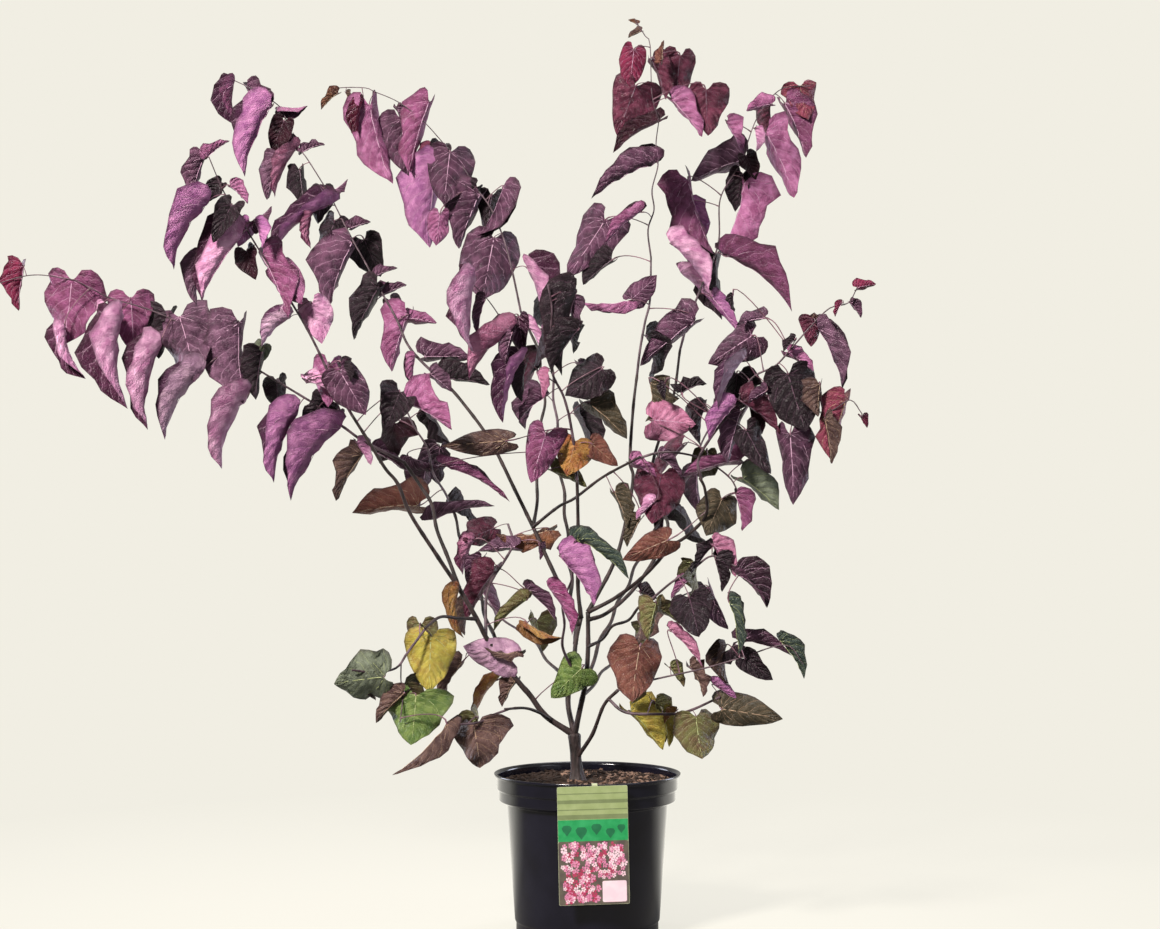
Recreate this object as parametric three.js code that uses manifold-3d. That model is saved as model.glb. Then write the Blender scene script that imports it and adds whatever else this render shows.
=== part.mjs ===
// A young redbud growing in a black nursery pot, in millimetres, with +Z up.
// The origin is the centre of the pot's flat underside, and the plant's broad side faces -Y.
//
// Each limb and each mass of foliage follows a spine with four named sizes:
//   tip    where the spine ends
//   bow    how far its middle stands off the straight line from base to tip
//   sway   how far it swings to one side and then the other, as an S
//   at     how far along its parent it starts, from 0 to 1, or the start itself for a stem on the trunk
import * as THREE from "three";
import { mergeVertices } from "three/addons/utils/BufferGeometryUtils.js";
import Module from "manifold-3d";

const wasm = await Module();
wasm.setup();

const CLEARANCE = 0.3; // between neighbours that touch on the real plant
const SWAY_SCALE = 6 * Math.sqrt(3); // brings the S curve t(1 - t)(1 - 2t) to a peak of 1
const SHARPEST = 0.25; // a corner sharper than this cosine is grown as if it were this sharp

// ---------------------------------------------------------------- driving sizes

const POT = {
  height: 235,
  wall: 2,
  floor: 2.5,
  sides: 32,
  footRadius: 106.5, // the recessed foot that the pot stands on
  footHeight: 13,
  baseRadius: 108.5, // where the tapering wall starts
  shoulderRadius: 120.5, // where it ends, under the lower band
  shoulderHeight: 190,
  lowerBandRadius: 132.6,
  lowerBandTop: 210,
  upperBandRadius: 135.6,
  upperBandTop: 230,
  lipRadius: 140,
  notches: 6,
  notchWidth: 15,
  notchHeight: 9,
  notchDepth: 9,
};

const SOIL = { top: 222 };

const LABEL = {
  width: 102,
  height: 171,
  thickness: 0.8,
  corner: 5,
  centreX: 10,
  bottom: 62,
  tilt: THREE.MathUtils.degToRad(-1.2),
  strapWidth: 12,
  strapDrop: 10, // how far the strap hangs down inside the rim
  strapLap: 15, // how far it runs down behind the card's top edge
};

const TRUNK = {
  base: [-15, 0, SOIL.top + CLEARANCE],
  top: [-19.5, 0, 291],
  radius: 8.3,
  forkRadius: 9.6,
  flare: 6.2, // added to the radius where the trunk meets the soil
  flareFade: 7, // how fast the flare dies away up the trunk
  ridge: 1.5, // height of the root ridges at the soil
  ridgeFade: 4,
  ridges: 5,
  sides: 16,
  steps: 8,
};

const LIMB = { sides: 6, stepLength: 55, socket: 14 };

const MASS = {
  sides: 8,
  ringLength: 33,
  leafPitch: 46, // between one leaf and the next along a shoot
  overlap: 0.12, // the share of a mass that the next one on its shoot takes over
  swing: 0.22, // these three are shares of the half width
  lobe: 0.13,
  knob: 0.09,
};

// ---------------------------------------------------------------- the plant's habit

const LIMBS = [
  // Three stems leave the trunk's fork, and one low shoot leaves its side.
  {
    name: "stem_left", on: "trunk", at: [-25, 0, 284],
    tip: [-190, -30, 515], bow: [-12, 0, -6], radii: [4.6, 3.4],
  },
  {
    name: "stem_centre", on: "trunk", at: [-21, 4, 287],
    tip: [-10, 30, 475], bow: [-8, 0, 2], radii: [4.2, 3.2],
  },
  {
    name: "stem_right", on: "trunk", at: [-13, -4, 285],
    tip: [5, -20, 475], bow: [2, 0, 4], radii: [4.4, 3.3],
  },
  {
    name: "bough_low_right", on: "trunk", at: [-16, 0, 254],
    tip: [45, -75, 365], bow: [0, -4, 4], sway: [6, -2, 0], radii: [3.2, 2.4],
  },
  // Boughs of the left stem.
  {
    name: "bough_left", on: "stem_left", at: 1,
    tip: [-350, -120, 790], bow: [-4, 0, -4], radii: [3.2, 2.2],
  },
  {
    name: "bough_far_left", on: "stem_left", at: 0.97,
    tip: [-280, 0, 695], bow: [10, 0, 4], sway: [-4, 0, -4], radii: [3, 2.4],
  },
  {
    name: "bough_low_left", on: "stem_left", at: 0.8,
    tip: [-235, -130, 460], bow: [-6, 0, 10], radii: [2.6, 2],
  },
  {
    name: "bough_back_left", on: "stem_left", at: 0.57,
    tip: [-220, 240, 640], radii: [3, 2.2],
  },
  {
    name: "bough_low_front", on: "stem_left", at: 0.2,
    tip: [-120, -110, 340], bow: [-4, 0, 2], radii: [2.4, 1.8],
  },
  // Boughs of the middle stem.
  {
    name: "bough_centre", on: "stem_centre", at: 1,
    tip: [-15, -30, 665], radii: [3.2, 2.5],
  },
  {
    name: "bough_upper_left", on: "stem_centre", at: 0.85,
    tip: [-225, 110, 830], bow: [16, 0, 10], radii: [3.4, 2.3],
  },
  {
    name: "bough_back_centre", on: "stem_centre", at: 0.72,
    tip: [-50, 260, 750], bow: [4, 2, 0], radii: [3.2, 2.3],
  },
  {
    name: "bough_back_low_left", on: "stem_centre", at: 0.38,
    tip: [-100, 170, 435], radii: [2.6, 2],
  },
  {
    name: "bough_top_left", on: "bough_upper_left", at: 0.38,
    tip: [-105, 200, 940], bow: [24, 2, 4], sway: [-6, 0, -2], radii: [2.6, 1.9],
  },
  {
    name: "bough_inner", on: "bough_upper_left", at: 0.28,
    tip: [75, -110, 710], bow: [-20, 2, 16], sway: [-6, 0, 4], radii: [2.4, 1.8],
  },
  // Boughs of the right stem.
  {
    name: "bough_tall", on: "stem_right", at: 1,
    tip: [75, 10, 835], bow: [22, 0, -2], sway: [6, 0, 0], radii: [3.2, 2.1],
  },
  {
    name: "bough_right", on: "stem_right", at: 0.95,
    tip: [160, -170, 675], bow: [22, 0, -14], sway: [-4, 0, 2], radii: [3, 2.1],
  },
  {
    name: "bough_right_tall", on: "stem_right", at: 0.85,
    tip: [145, 140, 875], bow: [38, 2, -20], sway: [20, 0, -6], radii: [3, 2],
  },
  {
    name: "bough_right_low", on: "stem_right", at: 0.72,
    tip: [95, -170, 505], radii: [2.4, 1.8],
  },
  {
    name: "bough_back_right", on: "stem_right", at: 0.45,
    tip: [125, 240, 615], bow: [-6, 2, 2], radii: [3, 2.2],
  },
  {
    name: "bough_back_low_right", on: "stem_right", at: 0.33,
    tip: [65, 170, 420], radii: [2.6, 2],
  },
];

// Each mass starts on the end of its bough, on a stem's side, or on the mass below it.
// width is across the plant's broad side and depth is from front to back.
const MASSES = [
  // On the left stem.
  {
    name: "leaves_left_inner", on: "bough_left",
    tip: [-435, -150, 930], bow: [-5, 0, 0], width: 120, depth: 40,
  },
  {
    name: "leaves_left", on: "leaves_left_inner",
    tip: [-545, -220, 1150], bow: [-10, 0, -20], sway: [5, 0, -5], width: 160, depth: 36,
  },
  {
    name: "leaves_far_left_inner", on: "bough_far_left",
    tip: [-555, -20, 815], bow: [-5, 0, -15], sway: [0, 0, -10], width: 152, depth: 34,
  },
  {
    name: "leaves_far_left", on: "leaves_far_left_inner",
    tip: [-770, -40, 915], bow: [0, 0, -20], sway: [5, 0, 0], width: 136, depth: 30,
  },
  {
    name: "leaves_far_left_tip", on: "leaves_far_left",
    tip: [-915, -50, 925], bow: [10, 0, 20], sway: [5, 0, -5], width: 72, depth: 26,
  },
  {
    name: "leaves_low_left", on: "bough_low_left",
    tip: [-370, -200, 390], bow: [15, 0, -10], sway: [5, 0, 0], width: 112, depth: 50,
  },
  {
    name: "leaves_low_left_inner", on: "leaves_low_left", at: 0.38,
    tip: [-260, -190, 255], bow: [20, 5, -10], sway: [0, 0, -5], width: 108, depth: 50,
  },
  {
    name: "leaves_low_front", on: "bough_low_front",
    tip: [-190, -170, 265], bow: [-5, 0, 5], width: 104, depth: 50,
  },
  {
    name: "leaves_inner_left", on: "stem_left", at: 0.72,
    tip: [-135, 70, 610], bow: [15, 0, 0], width: 132, depth: 46,
  },
  {
    name: "leaves_back_left", on: "bough_back_left",
    tip: [-300, 350, 795], bow: [5, 0, -10], sway: [0, 0, -5], width: 132, depth: 60,
  },
  // On the middle stem.
  {
    name: "leaves_upper_left", on: "bough_upper_left",
    tip: [-400, 170, 1095], bow: [-20, 0, -10], sway: [-5, 0, 0], width: 132, depth: 44,
  },
  {
    name: "leaves_upper_left_tip", on: "leaves_upper_left",
    tip: [-580, 200, 1305], bow: [25, 0, 0], sway: [5, 0, -5], width: 112, depth: 38,
  },
  {
    name: "leaves_top_left", on: "bough_top_left",
    tip: [-275, 240, 1190], bow: [0, 0, -5], width: 152, depth: 46,
  },
  {
    name: "leaves_top_left_tip", on: "leaves_top_left",
    tip: [-420, 250, 1290], bow: [20, 0, 0], sway: [5, 0, -5], width: 104, depth: 40,
  },
  {
    name: "leaves_centre_low", on: "bough_centre",
    tip: [-40, -50, 755], bow: [0, 0, -5], sway: [0, 0, -5], width: 168, depth: 56,
  },
  {
    name: "leaves_centre", on: "leaves_centre_low",
    tip: [-70, -90, 980], bow: [5, 0, -5], sway: [5, 0, -5], width: 152, depth: 64,
  },
  {
    name: "leaves_centre_left", on: "leaves_centre", at: 0.28,
    tip: [-180, -120, 965], bow: [-40, -5, -20], sway: [-10, -5, -5], width: 112, depth: 50,
  },
  {
    name: "leaves_back_centre", on: "bough_back_centre",
    tip: [-45, 370, 970], bow: [-10, 0, -10], sway: [5, 0, -5], width: 136, depth: 64,
  },
  {
    name: "leaves_back_low_left", on: "bough_back_low_left",
    tip: [-215, 290, 495], bow: [10, 0, 0], sway: [0, 0, -5], width: 112, depth: 60,
  },
  // On the right stem and the tall leading shoot.
  {
    name: "leaves_front", on: "stem_right", at: 0.38,
    tip: [-20, -170, 565], bow: [-25, 0, 0], sway: [-5, 0, 0], width: 96, depth: 48,
  },
  {
    name: "leaves_tall", on: "bough_tall",
    tip: [50, 20, 1010], bow: [25, 0, -10], sway: [0, 0, -5], width: 132, depth: 60,
  },
  {
    name: "leaves_tall_middle", on: "leaves_tall",
    tip: [90, 35, 1220], bow: [-30, 0, -15], sway: [-5, 0, -5], width: 120, depth: 52,
  },
  {
    name: "leaves_tall_tip", on: "leaves_tall_middle",
    tip: [75, 45, 1375], bow: [40, 0, -20], sway: [0, 0, -10], width: 152, depth: 60,
  },
  {
    name: "leaves_right_tall", on: "bough_right_tall",
    tip: [205, 170, 1175], bow: [30, 0, -10], sway: [0, 0, -5], width: 128, depth: 60,
  },
  {
    name: "leaves_right_tall_tip", on: "leaves_right_tall",
    tip: [375, 200, 1300], bow: [10, 0, -35], sway: [0, 0, -15], width: 112, depth: 54,
  },
  {
    name: "leaves_right", on: "bough_right",
    tip: [280, -200, 850], bow: [-5, 0, 0], sway: [0, 0, -5], width: 152, depth: 66,
  },
  {
    name: "leaves_right_tip", on: "leaves_right",
    tip: [395, -210, 955], bow: [10, 0, -40], sway: [0, 0, -15], width: 104, depth: 52,
  },
  {
    name: "leaves_right_outer", on: "leaves_right", at: 0.42,
    tip: [385, -230, 760], bow: [15, 0, -50], sway: [5, 0, -10], width: 108, depth: 54,
  },
  {
    name: "leaves_inner_right", on: "bough_inner",
    tip: [220, -130, 615], bow: [5, 0, 10], sway: [5, 0, 5], width: 144, depth: 60,
  },
  {
    name: "leaves_right_low", on: "bough_right_low",
    tip: [260, -220, 525], bow: [0, 0, 10], sway: [0, 0, -5], width: 128, depth: 60,
  },
  {
    name: "leaves_low_right_inner", on: "bough_low_right",
    tip: [160, -140, 320], bow: [0, 0, 30], sway: [-5, 0, 5], width: 152, depth: 58,
  },
  {
    name: "leaves_low_right", on: "leaves_low_right_inner",
    tip: [310, -220, 415], bow: [0, 0, -5], sway: [-5, 0, 0], width: 152, depth: 62,
  },
  {
    name: "leaves_back_right", on: "bough_back_right",
    tip: [210, 350, 805], bow: [5, 0, -15], sway: [-5, 0, -5], width: 132, depth: 66,
  },
  {
    name: "leaves_back_low_right", on: "bough_back_low_right",
    tip: [185, 290, 495], bow: [-10, 0, 0], sway: [0, 0, -5], width: 112, depth: 62,
  },
];

// ---------------------------------------------------------------- finishes

const finish = (color, roughness, metalness = 0) =>
  new THREE.MeshStandardMaterial({ color, roughness, metalness });

const POT_PLASTIC = finish(0x24232b, 0.42);
const BARK_MIX = finish(0x3a2820, 0.95);
const CARD = finish(0x8fae62, 0.35);
const BARK = finish(0x4a3d40, 0.85);
const LEAF_MAUVE = finish(0x96507e, 0.6);
const LEAF_PLUM = finish(0x4a2740, 0.6);
const LEAF_OLIVE = finish(0x75703a, 0.65);

const OLIVE_BELOW = 560; // masses whose tips are lower hold the older, greener leaves
const SHADED_BEHIND = 150; // masses whose tips are further back are the darker ones

// ---------------------------------------------------------------- solids

const vector = (list) => new THREE.Vector3(...list);

/** A geometry with only its positions, and one vertex at each corner. */
function bareGeometry(geometry) {
  const bare = geometry.clone();
  bare.deleteAttribute("normal");
  bare.deleteAttribute("uv");
  return mergeVertices(bare, 1e-3);
}

/** Moves each corner of a closed geometry so that every face at it shifts outwards by `distance`. */
function growSurface(geometry, distance) {
  const { position } = geometry.attributes;
  const corners = geometry.index.array;
  const normals = Array.from({ length: position.count }, () => []);
  const triangle = new THREE.Triangle();
  for (let i = 0; i < corners.length; i += 3) {
    const face = [corners[i], corners[i + 1], corners[i + 2]];
    triangle.setFromAttributeAndIndices(position, ...face);
    const normal = triangle.getNormal(new THREE.Vector3());
    face.forEach((corner) => normals[corner].push(normal));
  }
  normals.forEach((around, corner) => {
    const mean = new THREE.Vector3();
    around.forEach((normal) => mean.add(normal));
    mean.normalize();
    const least = Math.min(...around.map((normal) => normal.dot(mean)));
    const point = new THREE.Vector3().fromBufferAttribute(position, corner);
    point.addScaledVector(mean, distance / Math.max(least, SHARPEST));
    position.setXYZ(corner, point.x, point.y, point.z);
  });
}

/** A closed geometry as a manifold-3d solid, grown outwards by `extra`. */
function solidOf(geometry, extra = 0) {
  const bare = bareGeometry(geometry);
  if (extra > 0) growSurface(bare, extra);
  return new wasm.Manifold(
    new wasm.Mesh({
      numProp: 3,
      vertProperties: new Float32Array(bare.attributes.position.array),
      triVerts: new Uint32Array(bare.index.array),
    }),
  );
}

/** The largest body of a solid, so that a cut leaves no loose slivers. */
function largestBody(solid) {
  const bodies = solid.decompose();
  return bodies.reduce((best, body) => (body.volume() > best.volume() ? body : best));
}

/** A solid as a named mesh. */
function meshOf(name, solid, material) {
  const { vertProperties, triVerts } = solid.getMesh();
  const geometry = new THREE.BufferGeometry();
  geometry.setAttribute("position", new THREE.Float32BufferAttribute(vertProperties, 3));
  geometry.setIndex(new THREE.Uint32BufferAttribute(triVerts, 1));
  geometry.computeVertexNormals();
  const mesh = new THREE.Mesh(geometry, material);
  mesh.name = name;
  return mesh;
}

/** Moves each vertex of a geometry to where `place` puts it. */
function reshape(geometry, place) {
  const position = geometry.attributes.position;
  const point = new THREE.Vector3();
  for (let i = 0; i < position.count; i++) {
    point.fromBufferAttribute(position, i);
    place(point);
    position.setXYZ(i, point.x, point.y, point.z);
  }
  return geometry;
}

// ---------------------------------------------------------------- spines

/** A spine from its base to its tip, bowed at the middle and swayed as an S. */
class Spine extends THREE.Curve {
  constructor({ base, tip, bow = [0, 0, 0], sway = [0, 0, 0] }) {
    super();
    this.base = base;
    this.reach = vector(tip).sub(base);
    this.bow = vector(bow);
    this.sway = vector(sway);
  }

  getPoint(t, target = new THREE.Vector3()) {
    const hump = t * (1 - t);
    return target
      .copy(this.base)
      .addScaledVector(this.reach, t)
      .addScaledVector(this.bow, 4 * hump)
      .addScaledVector(this.sway, SWAY_SCALE * hump * (1 - 2 * t));
  }
}

/** Across and depth directions square to a direction, with across in the plant's broad plane. */
function crossAxes(direction) {
  const across = new THREE.Vector3().crossVectors(new THREE.Vector3(0, 1, 0), direction).normalize();
  const depth = new THREE.Vector3().crossVectors(direction, across).normalize();
  return { across, depth };
}

// ---------------------------------------------------------------- trunk and limbs

/** The trunk: flat cut at the soil, root flare with low ridges, slight lean, swelling at the fork. */
function trunkGeometry() {
  const { base, top, radius, forkRadius, sides, steps } = TRUNK;
  const low = vector(base);
  const high = vector(top);
  const stock = new THREE.CylinderGeometry(1, 1, 1, sides, steps).rotateX(Math.PI / 2);
  return reshape(stock, (p) => {
    const along = p.z + 0.5;
    const angle = Math.atan2(p.y, p.x);
    const flare = TRUNK.flare * Math.exp(-TRUNK.flareFade * along);
    const swelling = (forkRadius - radius) * THREE.MathUtils.smoothstep(along, 0.6, 1);
    const ridges = TRUNK.ridge * Math.cos(TRUNK.ridges * angle) * Math.exp(-TRUNK.ridgeFade * along);
    const size = radius + flare + swelling + ridges;
    const centre = low.clone().lerp(high, along);
    p.set(centre.x + p.x * size, centre.y + p.y * size, centre.z);
  });
}

/** A tapering limb along its spine. */
function limbGeometry(limb, spine) {
  const [baseRadius, tipRadius] = limb.radii;
  const steps = Math.max(3, Math.round(spine.getLength() / LIMB.stepLength));
  const stock = new THREE.CylinderGeometry(1, 1, 1, LIMB.sides, steps).rotateX(Math.PI / 2);
  return reshape(stock, (p) => {
    const along = p.z + 0.5;
    const size = THREE.MathUtils.lerp(baseRadius, tipRadius, along);
    const { across, depth } = crossAxes(spine.getTangent(along));
    const { x, y } = p;
    spine.getPoint(along, p);
    p.addScaledVector(across, x * size).addScaledVector(depth, y * size);
  });
}

// ---------------------------------------------------------------- foliage

/** An uneven body of leaves along a spine, swinging from side to side as alternate leaves do. */
function massGeometry(mass, spine, seed) {
  const length = spine.getLength();
  const rings = Math.max(6, Math.round(length / MASS.ringLength));
  const stock = new THREE.SphereGeometry(1, MASS.sides, rings).rotateX(Math.PI / 2);
  const halfTurns = length / MASS.leafPitch;
  const { across, depth } = crossAxes(spine.reach); // parallel rings, so a strong bow can't fold them
  return reshape(stock, (p) => {
    const polar = Math.acos(THREE.MathUtils.clamp(-p.z, -1, 1));
    const along = THREE.MathUtils.lerp(polar / Math.PI, (1 - Math.cos(polar)) / 2, 0.4);
    const flat = Math.hypot(p.x, p.y);
    const girth = Math.pow(flat, 0.75);
    const angle = Math.atan2(p.y, p.x);
    const swing = MASS.swing * girth * Math.sin(Math.PI * halfTurns * along + seed);
    const lobes = MASS.lobe * Math.sin(2 * angle + 5.3 * along + 1.7 * seed);
    const knobs = MASS.knob * Math.sin(3 * angle - 8.1 * along + 2.9 * seed);
    const size = girth * (1 + lobes + knobs);
    spine.getPoint(along, p);
    p.addScaledVector(across, (size * Math.cos(angle) + swing) * mass.width * 0.5);
    p.addScaledVector(depth, size * Math.sin(angle) * mass.depth * 0.5);
  });
}

// ---------------------------------------------------------------- pot, soil and label

/** A solid turned about the pot's axis from [radius, height] pairs that start and end on the axis. */
function turned(profile, sides) {
  const points = profile.map(([radius, height]) => new THREE.Vector2(radius, height));
  return solidOf(new THREE.LatheGeometry(points, sides).rotateX(Math.PI / 2));
}

function potSolid() {
  const inner = (radius) => radius - POT.wall;
  const outside = [
    [0, 0],
    [POT.footRadius, 0],
    [POT.footRadius, POT.footHeight],
    [POT.baseRadius, POT.footHeight + 3],
    [POT.shoulderRadius, POT.shoulderHeight],
    [POT.lowerBandRadius, POT.shoulderHeight + 5],
    [POT.lowerBandRadius, POT.lowerBandTop],
    [POT.upperBandRadius, POT.lowerBandTop + 2],
    [POT.upperBandRadius, POT.upperBandTop],
    [POT.lipRadius, POT.upperBandTop + 1.5],
    [POT.lipRadius, POT.height - 0.8],
    [POT.lipRadius - 0.8, POT.height],
  ];
  const inside = [
    [POT.lipRadius - POT.wall - 0.6, POT.height],
    [inner(POT.upperBandRadius), POT.upperBandTop + 1.5],
    [inner(POT.upperBandRadius), POT.lowerBandTop + 3],
    [inner(POT.lowerBandRadius), POT.lowerBandTop + 1],
    [inner(POT.lowerBandRadius), POT.shoulderHeight + 6.5],
    [inner(POT.shoulderRadius), POT.shoulderHeight + 1.5],
    [inner(POT.baseRadius), POT.footHeight + 4],
    [inner(POT.footRadius), POT.footHeight + 1],
    [inner(POT.footRadius), POT.floor],
    [0, POT.floor],
  ];
  let pot = turned([...outside, ...inside], POT.sides);
  const { notches, notchWidth, notchHeight, notchDepth } = POT;
  for (let i = 0; i < notches; i++) {
    const notch = new THREE.BoxGeometry(notchDepth, notchWidth, notchHeight)
      .translate(POT.footRadius, 0, notchHeight / 2 - 1)
      .rotateZ(((i + 0.5) / notches) * 2 * Math.PI);
    pot = pot.subtract(solidOf(notch));
  }
  return pot;
}

function soilSolid() {
  const fit = (radius) => radius - POT.wall - CLEARANCE;
  return turned(
    [
      [0, POT.floor + CLEARANCE],
      [fit(POT.footRadius), POT.floor + CLEARANCE],
      [fit(POT.footRadius), POT.footHeight + 1.2],
      [fit(POT.baseRadius), POT.footHeight + 4.2],
      [fit(POT.shoulderRadius), POT.shoulderHeight + 1.7],
      [fit(POT.lowerBandRadius), POT.shoulderHeight + 6.8],
      [fit(POT.lowerBandRadius), POT.lowerBandTop + 1.2],
      [fit(POT.upperBandRadius), POT.lowerBandTop + 3.2],
      [fit(POT.upperBandRadius), SOIL.top],
      [0, SOIL.top],
    ],
    POT.sides,
  );
}

/** The label: a card with rounded corners, and a strap that hooks it over the pot's rim. */
function labelSolid() {
  const { width, height, thickness, corner, bottom, strapWidth, strapDrop, strapLap } = LABEL;
  const rimFront = POT.lipRadius + 2 * CLEARANCE;
  const outline = new THREE.Shape();
  const half = width / 2;
  outline.moveTo(-half + corner, 0);
  outline.lineTo(half - corner, 0);
  outline.absarc(half - corner, corner, corner, -Math.PI / 2, 0, false);
  outline.absarc(half - corner, height - corner, corner, 0, Math.PI / 2, false);
  outline.absarc(-half + corner, height - corner, corner, Math.PI / 2, Math.PI, false);
  outline.absarc(-half + corner, corner, corner, Math.PI, 1.5 * Math.PI, false);
  const card = new THREE.ExtrudeGeometry(outline, {
    depth: thickness,
    bevelEnabled: false,
    curveSegments: 4,
  });
  card.rotateX(Math.PI / 2).translate(0, -rimFront, 0);

  const strapTop = POT.height + 2 * CLEARANCE + thickness;
  const strapFoot = bottom + height - strapLap;
  const innerFlat = (POT.upperBandRadius - POT.wall) * Math.cos(Math.PI / POT.sides);
  const strapInner = innerFlat - 2 * CLEARANCE - thickness;
  const hook = new THREE.Shape();
  hook.moveTo(rimFront, strapFoot);
  hook.lineTo(rimFront + thickness, strapFoot);
  hook.lineTo(rimFront + thickness, strapTop);
  hook.lineTo(strapInner, strapTop);
  hook.lineTo(strapInner, POT.height - strapDrop);
  hook.lineTo(strapInner + thickness, POT.height - strapDrop);
  hook.lineTo(strapInner + thickness, strapTop - thickness);
  hook.lineTo(rimFront, strapTop - thickness);
  hook.closePath();
  const strap = new THREE.ExtrudeGeometry(hook, { depth: strapWidth, bevelEnabled: false });
  strap.rotateX(Math.PI / 2).rotateZ(-Math.PI / 2).translate(strapWidth / 2, 0, 0);

  const tilted = card.rotateY(LABEL.tilt).translate(0, 0, bottom);
  const lean = Math.asin(LABEL.centreX / POT.lipRadius);
  return solidOf(tilted.rotateZ(lean)).add(solidOf(strap.rotateZ(lean)));
}

// ---------------------------------------------------------------- assembly

const plant = new THREE.Group();
plant.name = "redbud_in_pot";

plant.add(meshOf("pot", potSolid(), POT_PLASTIC));
plant.add(meshOf("potting_mix", soilSolid(), BARK_MIX));
plant.add(meshOf("pot_label", labelSolid(), CARD));

const spines = new Map();
const grown = []; // every finished piece, grown by its clearance

/** Adds a piece, cut back from every piece before it, as its main body. */
function addFitted(name, geometry, material) {
  const cut = grown.reduce((rest, other) => rest.subtract(other), solidOf(geometry));
  plant.add(meshOf(name, largestBody(cut), material));
  grown.push(solidOf(geometry, CLEARANCE));
}

spines.set("trunk", new Spine({ base: vector(TRUNK.base), tip: TRUNK.top }));
addFitted("trunk", trunkGeometry(), BARK);

for (const limb of LIMBS) {
  const base = Array.isArray(limb.at) ? vector(limb.at) : spines.get(limb.on).getPoint(limb.at);
  const spine = new Spine({ base, ...limb });
  spines.set(limb.name, spine);
  addFitted(limb.name, limbGeometry(limb, spine), BARK);
}

MASSES.forEach((mass, index) => {
  const parent = spines.get(mass.on);
  const setBack = mass.on.startsWith("leaves") ? MASS.overlap : LIMB.socket / parent.getLength();
  const base = parent.getPoint(mass.at ?? 1 - setBack);
  const spine = new Spine({ base, ...mass });
  spines.set(mass.name, spine);
  const upper = mass.tip[1] > SHADED_BEHIND ? LEAF_PLUM : LEAF_MAUVE;
  const material = mass.tip[2] < OLIVE_BELOW ? LEAF_OLIVE : upper;
  addFitted(mass.name, massGeometry(mass, spine, index), material);
});

export default plant;
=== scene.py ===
"""A young redbud in a black nursery pot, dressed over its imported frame.

Lengths are in millimetres up to the moment a mesh is made, +Z is up and the plant's broad side
faces -Y. Each limb and leafy spray is drawn as a line over the front view, and the spine that is
worked out from it is the one that the frame's solid follows.
"""
import logging
import math
from dataclasses import dataclass, field
from enum import Enum

import bpy
import numpy as np
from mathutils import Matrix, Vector, noise


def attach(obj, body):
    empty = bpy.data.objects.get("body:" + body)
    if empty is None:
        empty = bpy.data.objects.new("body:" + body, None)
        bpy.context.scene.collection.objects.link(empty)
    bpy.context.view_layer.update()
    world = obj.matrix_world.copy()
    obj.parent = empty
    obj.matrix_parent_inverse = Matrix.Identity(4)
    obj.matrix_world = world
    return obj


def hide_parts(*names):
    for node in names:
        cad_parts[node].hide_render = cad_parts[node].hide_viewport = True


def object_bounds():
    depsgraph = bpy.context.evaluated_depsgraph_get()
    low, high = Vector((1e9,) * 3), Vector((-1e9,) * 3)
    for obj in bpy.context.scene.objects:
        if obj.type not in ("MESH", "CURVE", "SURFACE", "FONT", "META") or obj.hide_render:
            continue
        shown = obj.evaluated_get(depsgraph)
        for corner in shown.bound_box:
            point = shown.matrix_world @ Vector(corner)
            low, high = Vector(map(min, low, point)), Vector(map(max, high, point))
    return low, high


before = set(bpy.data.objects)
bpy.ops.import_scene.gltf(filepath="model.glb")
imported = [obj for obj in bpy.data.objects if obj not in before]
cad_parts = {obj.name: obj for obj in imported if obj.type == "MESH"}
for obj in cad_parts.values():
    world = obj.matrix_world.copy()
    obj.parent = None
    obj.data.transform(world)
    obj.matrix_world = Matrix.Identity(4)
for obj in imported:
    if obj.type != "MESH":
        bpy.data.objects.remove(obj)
FRAME_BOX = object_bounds()

LOG = logging.getLogger("redbud")
METRE = 0.001  # one millimetre
SEED = 20
BODY = "root"
UP = np.array([0.0, 0.0, 1.0])
Pair = tuple[float, float]
Triple = tuple[float, float, float]
Box = tuple[float, float, float, float]
Node = bpy.types.Node
Tree = bpy.types.NodeTree
Thing = bpy.types.Object
Skin = bpy.types.Material
TOWARDS_EYE = np.array([0.0, -1.0, 0.0])


# ---------------------------------------------------------------- helpers


def unit(vector: np.ndarray) -> np.ndarray:
    """The vector at length one."""
    return vector / max(float(np.linalg.norm(vector)), 1e-9)


def linear(hex_code: str) -> tuple[float, float, float, float]:
    """Turns an sRGB colour into the linear one that Blender's sockets hold.

    Args:
        hex_code: The colour as "#RRGGBB".

    Returns:
        Red, green, blue and an alpha of one.
    """
    parts = [int(hex_code[i : i + 2], 16) / 255 for i in (1, 3, 5)]
    low = 0.04045
    channels = [c / 12.92 if c <= low else ((c + 0.055) / 1.055) ** 2.4 for c in parts]
    return (*channels, 1.0)


def feed(tree: Tree, node: Node, inputs: dict) -> Node:
    """Sets a node's inputs, by name or number, and gives the node back.

    Args:
        tree: The node tree that it is in.
        node: The node.
        inputs: For each input a value, the output that feeds it, or the node whose first output does.

    Returns:
        The same node.
    """
    for key, value in inputs.items():
        source = value.outputs[0] if isinstance(value, Node) else value
        if isinstance(source, bpy.types.NodeSocket):
            tree.links.new(source, node.inputs[key])
        else:
            node.inputs[key].default_value = source
    return node


def add_node(tree: Tree, kind: str, inputs: dict | None = None, **settings) -> Node:
    """Adds a node with its settings, values and incoming links.

    Args:
        tree: The node tree that it goes in.
        kind: Blender's identifier of the node.
        inputs: What feeds its inputs, as feed takes it.
        **settings: Properties of the node itself.

    Returns:
        The new node.
    """
    node = tree.nodes.new(kind)
    for key, value in settings.items():
        setattr(node, key, value)
    return feed(tree, node, inputs or {})


def per_mm(size: float) -> float:
    """The scale that gives a pattern cells of that many millimetres in Object coordinates."""
    return 1.0 / (size * METRE)


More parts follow.
